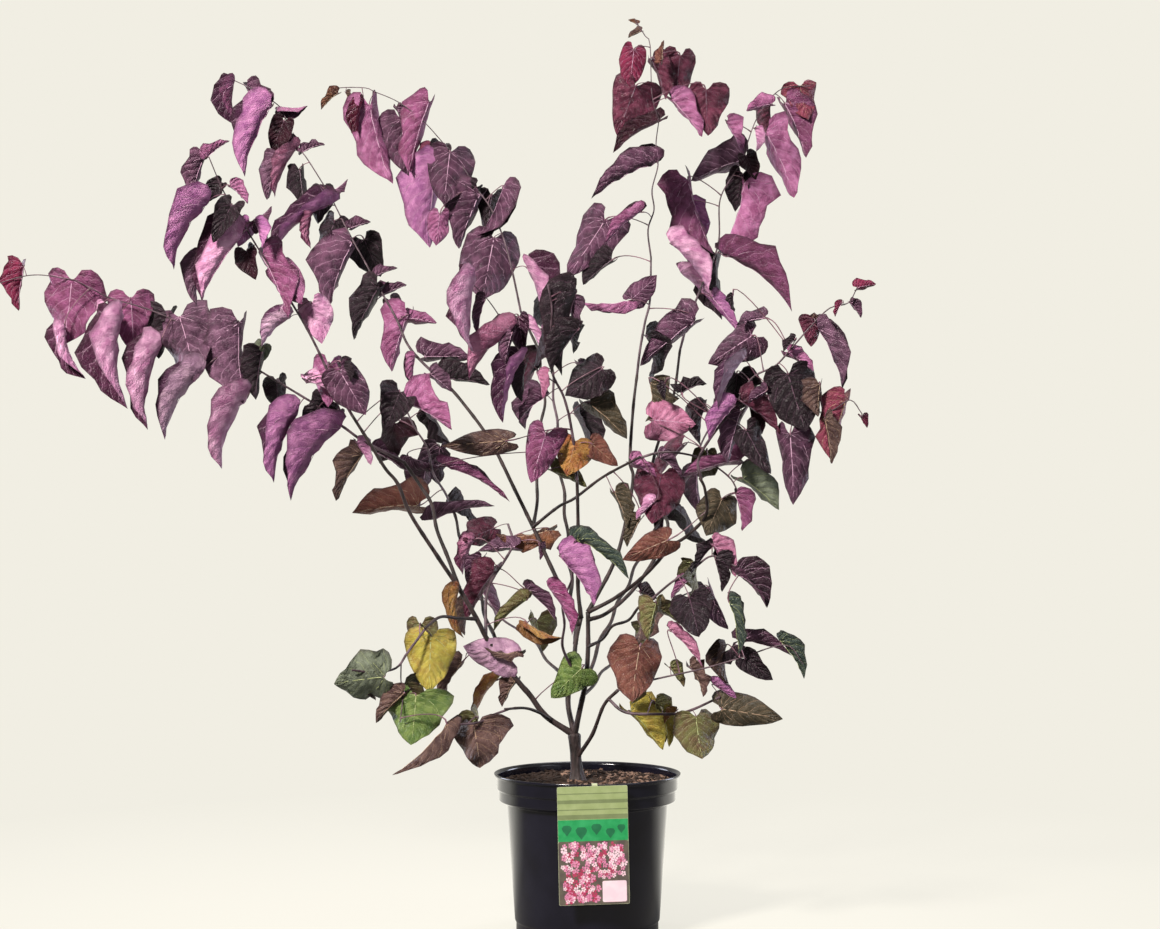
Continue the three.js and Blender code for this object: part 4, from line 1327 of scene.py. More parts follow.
@dataclass
class Growth:
    """Where every limb and shoot really runs, from the trunk outwards."""

    node_pitch: float = 42.0  # from one leaf to the next along a shoot
    kink: float = 3.0  # how far a shoot zigzags from leaf to leaf
    line_pitch: float = 6.0
    finest: float = 0.75  # the radius at the end of a shoot
    taper: float = 0.0038  # millimetres of radius lost for each millimetre of shoot
    side_share: float = 0.75  # how thick a shoot on another's side starts, for what it grows on
    kinks: Pair = (0.4, 1.2)  # the least and the greatest zigzag, as shares of kink
    habit: Habit = field(default_factory=Habit)
    spines: dict[str, Spine] = field(default_factory=dict)
    lines: dict[str, np.ndarray] = field(default_factory=dict)
    girths: dict[str, Pair] = field(default_factory=dict)
    parents: dict[str, str] = field(default_factory=dict)

    def ancestry(self, name: str) -> list[str]:
        """The part itself and all that it grows on, as far as the trunk."""
        found = [name]
        while found[-1] in self.parents:
            found.append(self.parents[found[-1]])
        return found

    def nearest(self, names: list[str], place: np.ndarray) -> np.ndarray:
        """The nearest point on any of the named lines."""
        points = np.vstack([self.lines[name] for name in names if name in self.lines])
        return points[np.argmin(np.linalg.norm(points - place, axis=1))]

    def guides(self, spine: Spine, route: tuple, rng: np.random.Generator) -> np.ndarray:
        """The points that a limb or shoot is led through.

        Args:
            spine: The frame's spine, which gives the depth and, without a route, the rest.
            route: Columns and rows on the front view, or none.
            rng: The source of the zigzag.

        Returns:
            The points, one row each.
        """
        if route:
            seen = lengths_along(np.array(route, float))
            return np.array([VIEW.place(at, spine.point(t)[1]) for at, t in zip(route, seen / seen[-1])])
        count = max(3, round(spine.length() / self.node_pitch) + 1)
        points = np.array([spine.point(t) for t in np.linspace(0, 1, count)])
        aside = unit(np.cross(spine.reach, TOWARDS_EYE))
        signs = np.where(np.arange(count) % 2, 1, -1) * self.kink * rng.uniform(*self.kinks, count)
        signs[0] = signs[-1] = 0
        return points + signs[:, None] * aside

    def grow(self, part: Part, base: np.ndarray, index: int) -> None:
        """Adds a part's spine and its line, which starts on whatever it grows on.

        Args:
            part: The limb or spray.
            base: Where the frame's spine starts.
            index: The part's number, which seeds its zigzag.
        """
        drawn = self.habit.spines[part.name]
        spine = Spine(base, drawn.tip, drawn.bow, drawn.sway)
        self.spines[part.name] = spine
        guides = self.guides(spine, part.route, np.random.default_rng([SEED, index]))
        guides[0] = self.nearest(self.ancestry(part.on), guides[0])
        self.parents[part.name] = part.on
        self.lines[part.name] = rounded(guides, self.line_pitch)

    def grow_limb(self, limb: Limb, index: int) -> None:
        """Adds a limb."""
        self.habit.read(limb)
        share = self.habit.shares[limb.name]
        self.grow(limb, limb.base if limb.base else self.spines[limb.on].point(share), index)
        self.girths[limb.name] = limb.radii

    def grow_spray(self, spray: Spray, index: int) -> None:
        """Adds a spray's shoot, which tapers on from what it grows on."""
        self.habit.read(spray)
        parent = self.spines[spray.on]
        share = self.habit.shares[spray.name]
        set_back = OVERLAP if spray.on.startswith("leaves") else SOCKET / parent.length()
        self.grow(spray, parent.point(1 - set_back if share is None else share), index)
        first = self.girths[spray.on][1] * (1.0 if share is None else self.side_share)
        length = lengths_along(self.lines[spray.name])[-1]
        self.girths[spray.name] = (first, max(self.finest, first - self.taper * length))


# ---------------------------------------------------------------- leaves


@dataclass(frozen=True)
class HeartOutline:
    """The leaf's outline and veins for a length of one, before it is folded and curled.

    A row is where it crosses the midrib, where it meets the margin, and its half width.
    """

    rows: tuple[Triple, ...] = (
        (0.0, -0.12, 0.14),
        (0.03, -0.15, 0.28),
        (0.08, -0.115, 0.4),
        (0.15, -0.02, 0.48),
        (0.24, 0.11, 0.52),
        (0.34, 0.25, 0.52),
        (0.44, 0.385, 0.485),
        (0.54, 0.51, 0.43),
        (0.64, 0.63, 0.36),
        (0.74, 0.74, 0.275),
        (0.84, 0.84, 0.175),
        (0.93, 0.932, 0.075),
        (1.0, 1.0, 0.0),
    )
    columns: int = 7
    # Each vein: where it leaves the midrib, where and how near the margin it ends, its width.
    main_veins: tuple[tuple[float, float, float, float], ...] = (
        (0.0, 0.5, 0.93, 1.0),
        (0.0, 0.15, 0.93, 0.85),
    )


HEART = HeartOutline()


def blade_plan() -> tuple[list[tuple[int, ...]], list[int], np.ndarray]:
    """How every blade's points join up, in an outer and an inner layer that share the margin.

    Returns:
        The faces, the material slot of each, and each point's place from midrib to margin and along.
    """
    last = len(HEART.rows) - 1
    columns = HEART.columns
    tip = last * columns
    outer = np.arange(tip).reshape(last, columns)
    inner = outer.copy()
    inner[1:, 1:-1] = tip + 1 + np.arange((last - 1) * (columns - 2)).reshape(last - 1, columns - 2)
    found: list[tuple[int, ...]] = []
    for layer, turn in ((outer, 1), (inner, -1)):
        for i, j in np.ndindex(last - 1, columns - 1):
            a, b = layer[i, j : j + 2]
            d, c = layer[i + 1, j : j + 2]
            # Both layers and both halves are cut alike, so that neither pokes through.
            pair = ((a, b, c), (a, c, d)) if j < columns // 2 else ((a, b, d), (b, c, d))
            found.extend(tuple(int(n) for n in part)[::turn] for part in pair)
        found.extend((int(a), int(b), tip)[::turn] for a, b in zip(layer[-1], layer[-1, 1:]))
    half = len(found) // 2
    spots = [(abs(u), row[0], 0.0) for row in HEART.rows[:-1] for u in np.linspace(-1, 1, columns)]
    hidden = [spots[i * columns + j] for i in range(1, last) for j in range(1, columns - 1)]
    return found, [0] * half + [1] * half, np.array([*spots, (0.4, 1.0, 0.0), *hidden])


BLADE_FACES, BLADE_SLOTS, BLADE_MARKS = blade_plan()


@dataclass
class Blade:
    """One leaf blade, folded along its midrib, curled along it and waved at its margin."""

    base: np.ndarray
    tip: np.ndarray
    face: np.ndarray  # where the side that shows looks
    hold: Hold
    breadth: float
    rng: np.random.Generator
    grid: np.ndarray = field(init=False)
    normals: np.ndarray = field(init=False)
    thickness: float = 0.36
    crease: float = 0.05  # how near the midrib the fold is done, for a length of one
    rim_roll: float = 0.35  # the share of the fold that the margin turns back further
    uneven: float = 0.09
    ragged: float = 0.05
    crumple: float = 0.011  # how far its surface is out of true, for a length of one
    lobe_lift: float = 0.07
    lobe_fade: float = 0.12  # how far along the midrib the lift of a lobe dies away
    roll_stray: float = 9.0  # these three are how far blades differ, in degrees
    fold_stray: float = 4.0
    twist_stray: float = 9.0
    curls: Pair = (0.7, 1.25)  # the least and the greatest curl, for its hold's
    shoulders: Pair = (-0.1, 0.2)  # how much wider an open blade is near its base
    shoulder_end: float = 0.6
    bow: float = 1.4  # how sharply the cross lines turn back towards the margin
    curl_start: float = 1.2  # above 1, a blade curls more towards its tip

    def __post_init__(self) -> None:
        """Lays out the grid of points."""
        local = self.folded()
        reach = self.tip - self.base
        size = float(np.linalg.norm(reach))
        along = reach / size
        front = unit(self.face - along * float(self.face @ along))
        aside = np.cross(along, front)
        roll = math.radians(self.hold.value[2] + self.rng.normal(0, self.roll_stray))
        up = front * math.cos(roll) + aside * math.sin(roll)
        across = np.cross(along, up)
        axes = np.array([across, along, up])
        self.grid = self.base + size * (local @ axes)
        self.normals = self.grid_normals()

    def folded(self) -> np.ndarray:
        """The blade in its own frame (across, along, up), with its tip at (0, 1, 0)."""
        fold, curl, _, wave, waves = self.hold.value
        rng = self.rng
        fold = math.radians(fold + rng.normal(0, self.fold_stray))
        curl = math.radians(curl * rng.uniform(*self.curls))
        twist = math.radians(rng.normal(0, self.twist_stray))
        phases = rng.uniform(0, 2 * math.pi, 2)
        rows = np.array(HEART.rows)
        share = np.linspace(-1, 1, HEART.columns)
        part = np.abs(share)
        sides = (share > 0).astype(int)
        # One half is a little wider than the other, its lobe reaches higher, its edge is uneven.
        bias = 1 + self.uneven * rng.normal() * np.sign(share)
        rough = rng.normal(0, 1, (len(rows) + 2, 2))
        rough = (rough[:-2] + rough[1:-1] * 1.4 + rough[2:]) / 2
        edge = 1 + self.ragged * rough[:, sides] * part**2
        lobes = rng.uniform(0.0, self.lobe_lift, 2)[sides] * np.exp(-rows[:, :1] / self.lobe_fade)
        y = rows[:, :1] + (rows[:, 1:2] - rows[:, :1] - lobes) * part**self.bow
        open_hold = self.hold in (Hold.OPEN, Hold.HALF_LEFT, Hold.HALF_RIGHT, Hold.CUP)
        shoulder = rng.uniform(*self.shoulders) if open_hold else 0.0
        bulge = shoulder * np.cos(math.pi * rows[:, :1] / self.shoulder_end)
        half = rows[:, 2:3] * self.breadth * (1 + bulge)
        far = half * part * bias * edge
        steps = np.linspace(0, 1, 13)
        walk = far[..., None] * steps
        turned_back = self.rim_roll * fold * (steps * part[:, None]) ** 2
        turn = fold * (1 - np.exp(-walk / self.crease)) + turned_back
        wide = far * np.trapz(np.cos(turn), steps, axis=-1) * np.sign(share)
        deep = -far * np.trapz(np.sin(turn), steps, axis=-1)
        phase = np.where(share < 0, phases[0], phases[1])
        ripple = np.sin(2 * math.pi * waves * y + phase) + 0.4 * np.sin(5 * math.pi * waves * y + 2 * phase)
        deep = deep + wave * half * part**2 * ripple
        deep = deep + self.crumple * rng.normal(0, 1, deep.shape) * np.minimum(1, 8 * half)
        fine = np.linspace(0, 1, 81)
        lean = curl * fine**self.curl_start
        ahead = np.concatenate([[0], np.cumsum(np.cos(lean[:-1]) * np.diff(fine))])
        rise = np.concatenate([[0], np.cumsum(np.sin(lean[:-1]) * np.diff(fine))])
        inside = np.clip(y, 0, 1)
        angle = curl * inside**self.curl_start
        spin = twist * inside
        side = wide * np.cos(spin) - deep * np.sin(spin)
        high = wide * np.sin(spin) + deep * np.cos(spin)
        mid = np.interp(inside, fine, ahead) + np.minimum(y, 0)
        top = np.interp(inside, fine, rise)
        forward = mid - high * np.sin(angle)
        upward = top + high * np.cos(angle)
        slope = math.atan2(rise[-1], ahead[-1])
        chord = math.hypot(rise[-1], ahead[-1])
        level = (forward * math.cos(slope) + upward * math.sin(slope)) / chord
        height = (upward * math.cos(slope) - forward * math.sin(slope)) / chord
        return np.stack([side / chord, level, height], axis=-1)

    def grid_normals(self) -> np.ndarray:
        """The direction that the outer side faces at each grid point."""
        down = np.gradient(self.grid, axis=0)
        side = np.gradient(self.grid, axis=1)
        side[-1] = side[-2]
        found = np.cross(side, down)
        return found / np.maximum(np.linalg.norm(found, axis=-1, keepdims=True), 1e-9)

    def corners(self) -> np.ndarray:
        """The points of both layers, in the order that the faces count them."""
        lift = self.normals * self.thickness / 2
        body = self.grid[:-1].copy()
        body[1:, 1:-1] += lift[1:-1, 1:-1]
        under = self.grid[1:-1, 1:-1] - lift[1:-1, 1:-1]
        return np.vstack([body.reshape(-1, 3), self.grid[-1:, 0], under.reshape(-1, 3)])

    def spot(self, row: float, column: float) -> tuple[np.ndarray, np.ndarray]:
        """A place on the blade and its normal.

        Args:
            row: How far along the midrib its row crosses, from 0 to 1.
            column: How near the margin, from -1 to 1.

        Returns:
            The place and the normal there.
        """
        crossings = [r[0] for r in HEART.rows]
        v = float(np.interp(row, crossings, range(len(crossings))))
        u = (column + 1) / 2 * (HEART.columns - 1)
        i = min(int(v), len(crossings) - 2)
        j = min(int(u), HEART.columns - 2)
        weights = np.outer([1 - (v - i), v - i], [1 - (u - j), u - j])[..., None]
        place = (self.grid[i : i + 2, j : j + 2] * weights).sum(axis=(0, 1))
        return place, unit((self.normals[i : i + 2, j : j + 2] * weights).sum(axis=(0, 1)))


@dataclass(frozen=True)
class Vein:
    """One raised vein: a strand of flat diamond section that shows on both sides of the blade."""

    start: float
    end: float
    margin: float
    width: float
    steps: int = 8
    height: float = 0.6
    sweep: Pair = (1.2, 0.9)  # how it bends, along the blade and across it
    thinnest: float = 0.35  # its width at its end, for the width at its start

    def into(self, bundle: Bundle, blade: Blade) -> None:
        """Adds the vein on a blade to a bundle."""
        spots = []
        for p in np.linspace(0, 1, self.steps + 1):
            row = self.start + (self.end - self.start) * p ** self.sweep[0]
            spots.append(blade.spot(row, self.margin * p ** self.sweep[1]))
        line = np.array([place for place, _ in spots])
        normals = np.array([normal for _, normal in spots])
        ahead = np.gradient(line, axis=0)
        across = np.cross(ahead, normals)
        across /= np.maximum(np.linalg.norm(across, axis=1, keepdims=True), 1e-9)
        fade = np.linspace(1, self.thinnest, self.steps + 1)[:-1, None]
        wide = across[:-1] * self.width * fade / 2
        high = normals[:-1] * self.height * fade
        rings = np.stack([line[:-1] - high, line[:-1] - wide, line[:-1] + high, line[:-1] + wide], axis=1)
        bundle.add(*skin(rings, last=line[-1]))


@dataclass(frozen=True)
class FillRule:
    """How the further leaves of a spray are set. A pair is the least and the most."""

    along: Pair = (0.2, 0.8)  # where on its own stretch of shoot a leaf starts
    tries: int = 12  # to find room within the limits
    behind: Pair = (50.0, 130.0)  # bearings at the back of the leaves that show
    stray: float = 75.0  # how far the bearing of a leaf on a back spray strays
    out: Pair = (22.0, 42.0)  # from the shoot, in millimetres
    up: Pair = (2.0, 16.0)
    lean: Pair = (0.1, 0.75)  # outwards, for a leaf that hangs down by one
    sway: float = 0.15
    lengths: Pair = (58.0, 84.0)
    lengths_behind: Pair = (48.0, 72.0)
    breadths: Pair = (0.75, 0.95)


FILL = FillRule()


@dataclass
class Foliage:
    """Every leaf of the plant, with its stalk and its veins, gathered by colour."""

    growth: Growth
    blades: dict[Tint, Bundle] = field(default_factory=dict)
    veins: dict[VeinInk, Bundle] = field(default_factory=dict)
    served: dict[Tint | VeinInk, set[str]] = field(default_factory=dict)
    stalks: Strands = field(default_factory=lambda: Strands("leaf_stalks", 6))
    midrib_width: float = 1.7
    stalk_radius: float = 0.85
    joint_radius: float = 1.3  # the swollen joint at each end of a stalk
    slack: float = 0.03  # the share of each side that leaves may reach past the frame
    reach_past: float = 6.0  # and this many millimetres more
    pot_reach: float = 150.0  # leaves keep out of an upright drum about the pot, this wide
    pot_top: float = 240.0  # and this high
    common_length: float = 80.0  # of a blade, and a shorter one has finer veins
    side_veins: float = 0.62  # how wide the main side veins are, for the midrib
    spread: float = 0.32  # how far a leaf is in front of or behind its shoot, for its spray's depth
    tip_stray: float = 10.0  # how much its tip's depth strays
    slim: Pair = (0.74, 0.8)  # a blade's breadth where it bulges aside, and otherwise
    breadths: Pair = (0.93, 1.07)
    stalk_bend: Triple = (0.35, 0.14, 0.3)  # out, up and back in, for its length
    stalk_sizes: Pair = (0.55, 90.0)  # the finest, and the length that adds a whole

    def limits(self) -> tuple[np.ndarray, np.ndarray]:
        """The lowest and highest corner that the leaves keep within, in millimetres."""
        low, high = (np.array(corner[:]) / METRE for corner in FRAME_BOX)
        past = (high - low) * self.slack + self.reach_past
        return low - past, high + past

    def fits(self, blade: Blade) -> bool:
        """Whether a blade stays within the limits and clear of the pot."""
        low, high = self.limits()
        inside = bool((blade.grid > low).all() and (blade.grid < high).all())
        near = np.hypot(blade.grid[..., 0], blade.grid[..., 1]) < self.pot_reach
        return inside and not bool((near & (blade.grid[..., 2] < self.pot_top)).any())

    def add(self, spray: Spray, blade: Blade, tint: Tint, root: np.ndarray) -> None:
        """Adds a leaf with its stalk and veins.

        Args:
            spray: The spray that it belongs to.
            blade: Its blade.
            tint: Its colour.
            root: Where its stalk leaves the shoot.
        """
        marks = BLADE_MARKS + (0.0, 0.0, blade.rng.random())
        self.blades.setdefault(tint, Bundle()).add(blade.corners(), BLADE_FACES, BLADE_SLOTS, marks)
        self.served.setdefault(tint, set()).add(spray.name)
        ink = tint.value.veins
        bundle = self.veins.setdefault(ink, Bundle())
        self.served.setdefault(ink, set()).add(spray.name)
        size = min(1.0, float(np.linalg.norm(blade.tip - blade.base)) / self.common_length)
        width = self.midrib_width * size
        Vein(0.0, 0.95, 0.0, width, steps=10).into(bundle, blade)
        for start, end, margin, share in HEART.main_veins:
            for side in (-1, 1):
                Vein(start, end, margin * side, width * self.side_veins * share).into(bundle, blade)
        self.add_stalk(blade, root)

    def add_stalk(self, blade: Blade, root: np.ndarray) -> None:
        """Adds the stalk from the shoot to a blade's base."""
        foot = blade.grid[0, HEART.columns // 2]
        into = unit(blade.grid[1, HEART.columns // 2] - foot)
        gap = float(np.linalg.norm(foot - root))
        out, up, back = self.stalk_bend
        rise = root + (foot - root) * out + UP * gap * up
        knee = foot - into * gap * back
        t = np.linspace(0, 1, 9)[:, None]
        line = (1 - t) ** 3 * root + 3 * t * (1 - t) ** 2 * rise + 3 * t**2 * (1 - t) * knee + t**3 * foot
        line = np.vstack([line, foot + into * 1.5])
        finest, whole = self.stalk_sizes
        size = min(1.0, finest + gap / whole)
        radii = np.full(len(line), self.stalk_radius * size)
        radii[0] = radii[-3] = radii[-2] = self.joint_radius * size
        self.stalks.add(line, radii)

    def show(self, spray: Spray, leaf: Leaf, rng: np.random.Generator) -> None:
        """Adds one of the leaves whose place on the front view is given."""
        chain = self.growth.ancestry(spray.name)
        shoot = np.vstack([self.growth.lines[name] for name in chain if name in self.growth.lines])
        seen = np.array([VIEW.seen(place) for place in shoot])
        start = (leaf.column, leaf.row)
        root = shoot[np.argmin(np.linalg.norm(seen - np.array(start), axis=1))]
        spread = self.spread * spray.depth
        depth = root[1] - leaf.forward + rng.uniform(-spread, spread)
        base = VIEW.place(start, depth)
        stray = rng.uniform(-self.tip_stray, self.tip_stray)
        tip = VIEW.place((leaf.tip_column, leaf.tip_row), depth - leaf.lean + stray)
        slim = self.slim[0] if leaf.hold in (L, R) else self.slim[1]
        breadth = leaf.breadth * slim * rng.uniform(*self.breadths)
        blade = Blade(base, tip, TOWARDS_EYE, leaf.hold, breadth, rng)
        if not self.fits(blade):
            LOG.warning("%s: a leaf at %s reaches past the limits", spray.name, start)
            return
        self.add(spray, blade, leaf.tint, root)

    def fill_in(self, spray: Spray, rng: np.random.Generator) -> None:
        """Adds the further leaves of a spray by rule: alternate, hanging, and mostly at the back."""
        line = self.growth.lines[spray.name]
        far = lengths_along(line)
        count = round(spray.fill * far[-1] / self.growth.node_pitch)
        behind = not spray.name.startswith("leaves_back")
        holds = (Hold.BULGE_LEFT, Hold.BULGE_RIGHT, Hold.HALF_LEFT, Hold.HALF_RIGHT, Hold.OPEN, Hold.CUP)
        for i in range(count):
            at = (i + rng.uniform(*FILL.along)) / count * far[-1]
            root = line[min(int(np.searchsorted(far, at)), len(line) - 1)]
            for _ in range(FILL.tries):
                spin = rng.uniform(*FILL.behind) if behind else rng.uniform(-FILL.stray, FILL.stray)
                bearing = math.radians(spin if behind else (i % 2) * 180 + spin)
                out = np.array([math.cos(bearing), math.sin(bearing), 0.0])
                foot = root + out * rng.uniform(*FILL.out) + UP * rng.uniform(*FILL.up)
                hang = unit(out * rng.uniform(*FILL.lean) - UP + rng.normal(0, FILL.sway, 3))
                size = rng.uniform(*(FILL.lengths_behind if behind else FILL.lengths))
                hold = holds[rng.integers(len(holds))]
                blade = Blade(foot, foot + hang * size, out, hold, rng.uniform(*FILL.breadths), rng)
                if self.fits(blade):
                    self.add(spray, blade, spray.deal[i % len(spray.deal)], root)
                    break

    def build(self) -> None:
        """Grows every leaf and hands the pieces over."""
        for index, spray in enumerate(SPRAYS):
            for number, leaf in enumerate(spray.leaves):
                self.show(spray, Leaf(*leaf), np.random.default_rng([SEED, index, number]))
            self.fill_in(spray, np.random.default_rng([SEED, index]))
        for tint, bundle in self.blades.items():
            name = tint.name.lower()
            piece = bundle.piece(f"leaves_{name}", tint.value.materials(name))
            sharpen_margins(piece.data)
            hand_over(piece, tuple(sorted(self.served[tint])))
        for ink, bundle in self.veins.items():
            piece = bundle.piece(f"veins_{ink.name.lower()}", [ink.value.material()], smooth=False)
            hand_over(piece, tuple(sorted(self.served[ink])))
        stalks = self.stalks.piece(PETIOLE_SKIN.material())
        hand_over(stalks, tuple(spray.name for spray in SPRAYS))


def sharpen_margins(mesh: bpy.types.Mesh) -> None:
    """Keeps the shading of a blade's two sides apart at its margin."""
    faces = np.zeros(len(mesh.polygons), int)
    mesh.polygons.foreach_get("material_index", faces)
    sizes = np.zeros(len(mesh.polygons), int)
    mesh.polygons.foreach_get("loop_total", sizes)
    edges = np.zeros(len(mesh.loops), int)
    mesh.loops.foreach_get("edge_index", edges)
    slots = np.repeat(faces, sizes)
    least = np.full(len(mesh.edges), 9)
    most = np.full(len(mesh.edges), -1)
    np.minimum.at(least, edges, slots)
    np.maximum.at(most, edges, slots)
    sharp = mesh.attributes.new("sharp_edge", "BOOLEAN", "EDGE")
    sharp.data.foreach_set("value", (least != most).tolist())


# ---------------------------------------------------------------- bark


@dataclass(frozen=True)
class BarkTube:
    """A limb's skin: rings along a line, with long low ridges, small pits and swollen nodes."""

    line: np.ndarray
    radii: np.ndarray
    sides: int = 14
    relief: float = 0.22
    ridge_length: float = 26.0
    ridge_width: float = 3.0

    def rings(self) -> np.ndarray:
        """The points of every ring."""
        ahead = np.gradient(self.line, axis=0)
        ahead /= np.linalg.norm(ahead, axis=1, keepdims=True)
        side = unit(np.cross(ahead[0], np.array([0.3, 1.0, 0.2])))
        found = []
        far = lengths_along(self.line)
        angles = np.arange(self.sides) / self.sides * 2 * math.pi
        for place, direction, radius, at in zip(self.line, ahead, self.radii, far):
            side = unit(side - direction * float(side @ direction))
            other = np.cross(direction, side)
            ring = []
            for angle in angles:
                x = math.cos(angle)
                y = math.sin(angle)
                spot = Vector((x * radius, y * radius, at * self.ridge_width / self.ridge_length))
                rough = noise.noise(spot / self.ridge_width) + 0.5 * noise.noise(spot * 1.1)
                size = radius + self.relief * rough * min(1.0, radius / 3)
                ring.append(place + (side * x + other * y) * size)
            found.append(ring)
        return np.array(found)

    def into(self, bundle: Bundle) -> None:
        """Adds the closed tube to a bundle."""
        bundle.add(*skin(self.rings(), self.line[0], self.line[-1]))


@dataclass
class Wood:
    """Trunk, stems and boughs in bark, and the thin shoots of this season."""

    growth: Growth
    base: Triple = (-15.0, 0.0, 222.3)
    top: Triple = (-19.5, 0.0, 291.0)
    radius: float = 8.3
    fork_radius: float = 9.6
    flare: float = 6.2
    flare_fade: float = 7.0
    ridge: float = 1.5
    ridge_fade: float = 4.0
    ridges: int = 5
    sides: int = 64
    buried: float = 7.0  # how far the trunk goes on down into the potting mix
    swell_from: float = 0.6  # the share of the trunk where it starts to swell to its fork
    furrow_width: float = 8.0
    furrow_stretch: float = 0.16  # how much slower the furrows change along the trunk
    dome: tuple[float, ...] = (0.93, 0.78, 0.5, 0.22)  # the rounded top's rings, as shares
    dome_rise: float = 4.5
    collar: Pair = (0.3, 7.0)  # a limb's thicker foot: its share and its length
    limb_nodes: tuple[float, ...] = (44.0, 9.0, 0.35, 14.0)  # as swellings() takes them
    shoot_nodes: tuple[float, ...] = (42.0, 5.0, 0.3, 10.0)
    shoots: Strands = field(default_factory=lambda: Strands("leafy_shoots", 8))

    def plan(self) -> None:
        """Lays out every line of growth."""
        self.growth.spines["trunk"] = Spine(np.array(self.base), self.top, (0, 0, 0), (0, 0, 0))
        self.growth.lines["trunk"] = np.linspace(self.base, self.top, 24)
        self.growth.girths["trunk"] = (self.radius, self.fork_radius)
        for index, limb in enumerate(LIMBS):
            self.growth.grow_limb(limb, index)
        for index, spray in enumerate(SPRAYS):
            self.growth.grow_spray(spray, len(LIMBS) + index)

    def trunk(self) -> Bundle:
        """The trunk: root flare with low ridges, furrowed bark and a rounded fork."""
        low = np.array(self.base)
        high = np.array(self.top)
        height = high[2] - low[2]
        levels = np.concatenate([[-self.buried / height], np.linspace(0, 1, 40)])
        rings = []
        for along in levels:
            centre = low + (high - low) * along
            swell = np.clip((along - self.swell_from) / (1 - self.swell_from), 0, 1)
            swell = swell * swell * (3 - 2 * swell) * (self.fork_radius - self.radius)
            ring = []
            for step in range(self.sides):
                angle = step / self.sides * 2 * math.pi
                flare = self.flare * math.exp(-self.flare_fade * max(along, 0))
                ridge = self.ridge * math.cos(self.ridges * angle) * math.exp(-self.ridge_fade * along)
                size = self.radius + flare + swell + ridge
                x = math.cos(angle)
                y = math.sin(angle)
                wide = self.furrow_width
                spot = Vector((x * wide, y * wide, along * height * self.furrow_stretch))
                furrow = noise.noise(spot * 0.5) * 0.7 + noise.noise(spot * 1.3) * 0.35
                ring.append(centre + np.array([x, y, 0]) * (size + furrow))
            rings.append(ring)
        edge = np.array(rings[-1])
        for share in self.dome:
            rise = UP * self.dome_rise * math.sqrt(1 - share**2)
            rings.append([high + (place - high) * share + rise for place in edge])
        grid = np.array(rings)
        bundle = Bundle()
        bundle.add(*skin(grid, grid[0].mean(axis=0), grid[-1].mean(axis=0) + UP * 0.2))
        return bundle

    def limb_radii(self, limb: Limb) -> np.ndarray:
        """A limb's radius at each point: taper, a collar at its foot and swollen nodes."""
        far = lengths_along(self.growth.lines[limb.name])
        radii = np.interp(far, [0, far[-1]], limb.radii)
        thicker, length = self.collar
        collar = thicker * limb.radii[0] * np.exp(-far / length)
        return radii + collar + swellings(far, *self.limb_nodes)

    def build(self) -> None:
        """Builds the bark pieces and the shoots and hands them over."""
        bark = BARK.material()
        hand_over(self.trunk().piece("trunk_bark", [bark]), ("trunk",))
        for kind in ("stem", "bough"):
            bundle = Bundle()
            limbs = [limb for limb in LIMBS if limb.name.startswith(kind)]
            for limb in limbs:
                line = self.growth.lines[limb.name]
                BarkTube(line, self.limb_radii(limb)).into(bundle)
            hand_over(bundle.piece(f"{kind}_bark", [bark]), tuple(limb.name for limb in limbs))
        for spray in SPRAYS:
            line = self.growth.lines[spray.name]
            far = lengths_along(line)
            radii = np.interp(far, [0, far[-1]], self.growth.girths[spray.name])
            self.shoots.add(line, radii + swellings(far, *self.shoot_nodes) * radii / 2)
        shoots = self.shoots.piece(SHOOT_BARK.material())
        hand_over(shoots, tuple(spray.name for spray in SPRAYS))


# ---------------------------------------------------------------- pot, potting mix and label


def filleted(corners: list[Pair], radius: float, steps: int = 3) -> list[np.ndarray]:
    """Rounds the corners of an open outline.

    Args:
        corners: The outline's corners.
        radius: How far from each corner the rounding starts, at most.
        steps: Into how many parts each rounding is cut.

    Returns:
        The rounded outline, with the same two ends.
    """
    line = [np.array(corner, float) for corner in corners]
    done = [line[0]]
    for before, corner, after in zip(line, line[1:], line[2:]):
        back = before - corner
        on = after - corner
        reach = min(radius, 0.42 * float(np.linalg.norm(back)), 0.42 * float(np.linalg.norm(on)))
        first = corner + unit(back) * reach
        last = corner + unit(on) * reach
        for t in np.linspace(0, 1, steps + 1):
            done.append((1 - t) ** 2 * first + 2 * t * (1 - t) * corner + t * t * last)
    done.append(line[-1])
    return done


def turned(profile: list[np.ndarray], sides: int) -> Bundle:
    """Turns a profile about the upright axis, where it starts and ends.

    Args:
        profile: Radius and height of each point, from the bottom's centre round the outside.
        sides: The number of sides of the turned body.

    Returns:
        The closed surface.
    """
    angles = np.arange(sides) / sides * 2 * math.pi
    rings = [[(r * math.cos(a), r * math.sin(a), z) for a in angles] for r, z in profile[1:-1]]
    bundle = Bundle()
    bundle.add(*skin(np.array(rings), UP * profile[0][1], UP * profile[-1][1]))
    return bundle


